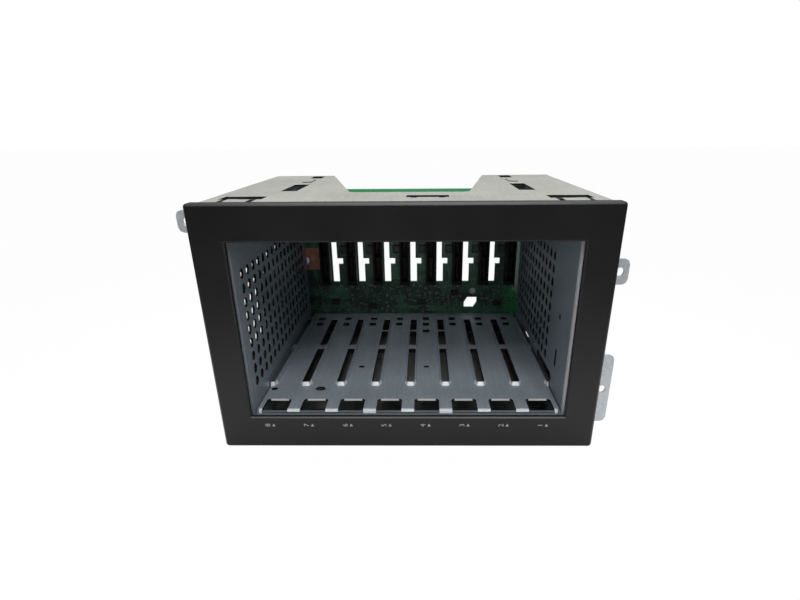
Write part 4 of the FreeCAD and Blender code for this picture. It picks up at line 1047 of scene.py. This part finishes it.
def rear_fittings():
    """Pins of the power header, blades of the data ports, cans with a black cross as painted shade in their
    pressed vents, and a chip's legs.
    """
    pin = box_mesh("power_pin", ((-0.55, -0.55, 0), (0.55, 0.55, 6.4)))
    pins = [(at(x, BOARD_REAR + 4.2, z), TO_REAR) for x, z in POWER_PINS]
    placed("power_pins", pin, pins, TIN, "power_plastic")
    blade = box_mesh("port_contact", ((-0.3, -0.12, 0), (0.3, 0.12, 5.6)))
    blades = [(at(side - 7.5 + column * 1.25, BOARD_REAR + 2.6, 26.0 + row), TO_REAR)
              for side in DATA_PORT_X for column in range(13) for row in (-0.12, 1.12)]
    placed("port_contacts", blade, blades, GOLD, "port_shell")
    can = turned("can", [(0, -0.02), (3.0, -0.02), (3.15, 0.25), (3.15, 0.9), (3.0, 1.15), (3.15, 1.4),
                         (3.15, 5.4), (2.9, 5.78), (2.3, 5.8), (0, 5.8)], 32)
    cans = [on_board(x, CAPACITOR_Z, TO_REAR) for x in CAPACITOR_X]
    placed("capacitor_cans", can, cans, FINISHES["capacitor_can"], "capacitor_can", "board_capacitors")
    # painted shade: a thin black cross on each can's top stands in for the shade in its pressed vent grooves
    mark = box_mesh("can_vent_shade", ((-3.0, -0.12, 5.79), (3.0, 0.12, 5.83)),
                    ((-0.12, -3.0, 5.79), (0.12, 3.0, 5.83)))
    placed("can_vents", mark, cans, FINISHES["chip_resin"], "capacitor_can")
    low, high = ends("controller_chip")
    side_legs, end_gap = 16, 1.0
    pitch = (high.x - low.x - 2 * end_gap) / (side_legs - 1)
    legs = [on_board(low.x + end_gap + step * pitch, z, TO_REAR)
            for step in range(side_legs) for z in (low.z - 0.7, high.z + 0.7)]
    leg = box_mesh("controller_leg", ((-0.15, -0.75, SUNK), (0.15, 0.75, 0.3)))
    placed("controller_legs", leg, legs, DULL_TIN, "chip_resin")


two_ended_parts()
legged_chips()
solder_points()
board_fittings()
rear_fittings()


# ------------------------ stage, light and camera
def seen_directly(tree):
    """One for camera and transmission rays, nought for light on the object."""
    ray = add(tree, "ShaderNodeLightPath").outputs
    return figured(tree, "MAXIMUM", ray["Is Camera Ray"], ray["Is Transmission Ray"])


def pale_floor():
    """Plain pale floor: camera and clear rays see it white with a trace of shadow, and the light that it
    throws back on the object fades away from the cage."""
    form = bmesh.new()
    bmesh.ops.create_grid(form, x_segments=1, y_segments=1, size=4.0)
    floor = link_piece("studio_floor", mesh_from(form, "studio_floor"))
    finish, tree, place = new_finish("pale_floor")
    away = add(tree, "ShaderNodeVectorMath", {0: place}, operation="LENGTH").outputs["Value"]
    tone = blend(tree, reach(tree, away, 140, 400), "#dddddd", "#282828")
    matt = add(tree, "ShaderNodeBsdfDiffuse", {"Color": tone})
    white = add(tree, "ShaderNodeEmission", {"Color": colour("#ffffff"), "Strength": 1.0})
    share = product(tree, seen_directly(tree), 0.985)
    mixed = add(tree, "ShaderNodeMixShader", {0: share, 1: matt, 2: white})
    add(tree, "ShaderNodeOutputMaterial", {"Surface": mixed})
    floor.data.materials.append(finish)


def studio_world():
    """White to the camera, a pale room in reflections, and a weak fill light."""
    world = bpy.data.worlds.new("studio")
    bpy.context.scene.world = world
    world.use_nodes = True
    tree = world.node_tree
    tree.nodes.clear()
    mirrored = product(tree, add(tree, "ShaderNodeLightPath").outputs["Is Glossy Ray"], 0.1)
    weak = figured(tree, "ADD", mirrored, 0.2)
    strength = figured(tree, "MAXIMUM", weak, seen_directly(tree))
    sky = add(tree, "ShaderNodeBackground", {"Color": colour("#ffffff"), "Strength": strength})
    add(tree, "ShaderNodeOutputWorld", {"Surface": sky})


def soft_lamp(name, place, size, watts):
    """Square soft box that looks at the cage and isn't seen itself."""
    lamp = bpy.data.lights.new(name, "AREA")
    lamp.shape = "SQUARE"
    lamp.size = size
    lamp.energy = watts
    holder = bpy.data.objects.new(name, lamp)
    holder.location = place
    target = Vector((0, 0, 0.05))
    holder.rotation_euler = (target - Vector(place)).to_track_quat("-Z", "Y").to_euler()
    holder.visible_camera = False
    bpy.context.scene.collection.objects.link(holder)


def viewing_camera():
    """Camera in front of the mouth, above the cage and tilted down, its lens shifted as the framing needs."""
    turn, tilt, roll = -0.01598, 0.44856, -0.00729
    ahead = Vector((sin(turn) * cos(tilt), cos(turn) * cos(tilt), -sin(tilt)))
    level = Vector((cos(turn), -sin(turn), 0))
    upright = level.cross(ahead)
    right = level * cos(roll) + upright * sin(roll)
    up = upright * cos(roll) - level * sin(roll)
    lens = bpy.data.cameras.new("camera")
    lens.sensor_width = 36
    lens.lens = 24.3
    lens.shift_x = -0.02044
    lens.shift_y = 0.1104
    lens.clip_start = 0.01
    camera = bpy.data.objects.new("camera", lens)
    eye = at(7.304, -205.357, 127.725)
    facing = Matrix((right, up, -ahead)).transposed().to_4x4()
    camera.matrix_world = Matrix.Translation(eye) @ facing
    bpy.context.scene.collection.objects.link(camera)
    bpy.context.scene.camera = camera


pale_floor()
studio_world()
soft_lamp("softbox_above", (0.02, 0.08, 0.95), 0.8, 9.4)
soft_lamp("softbox_front", (0.04, -0.6, 0.72), 0.34, 4.3)
soft_lamp("softbox_rear", (0.45, 0.65, 0.75), 0.5, 0.4)
viewing_camera()
bpy.context.scene.view_settings.view_transform = "Standard"
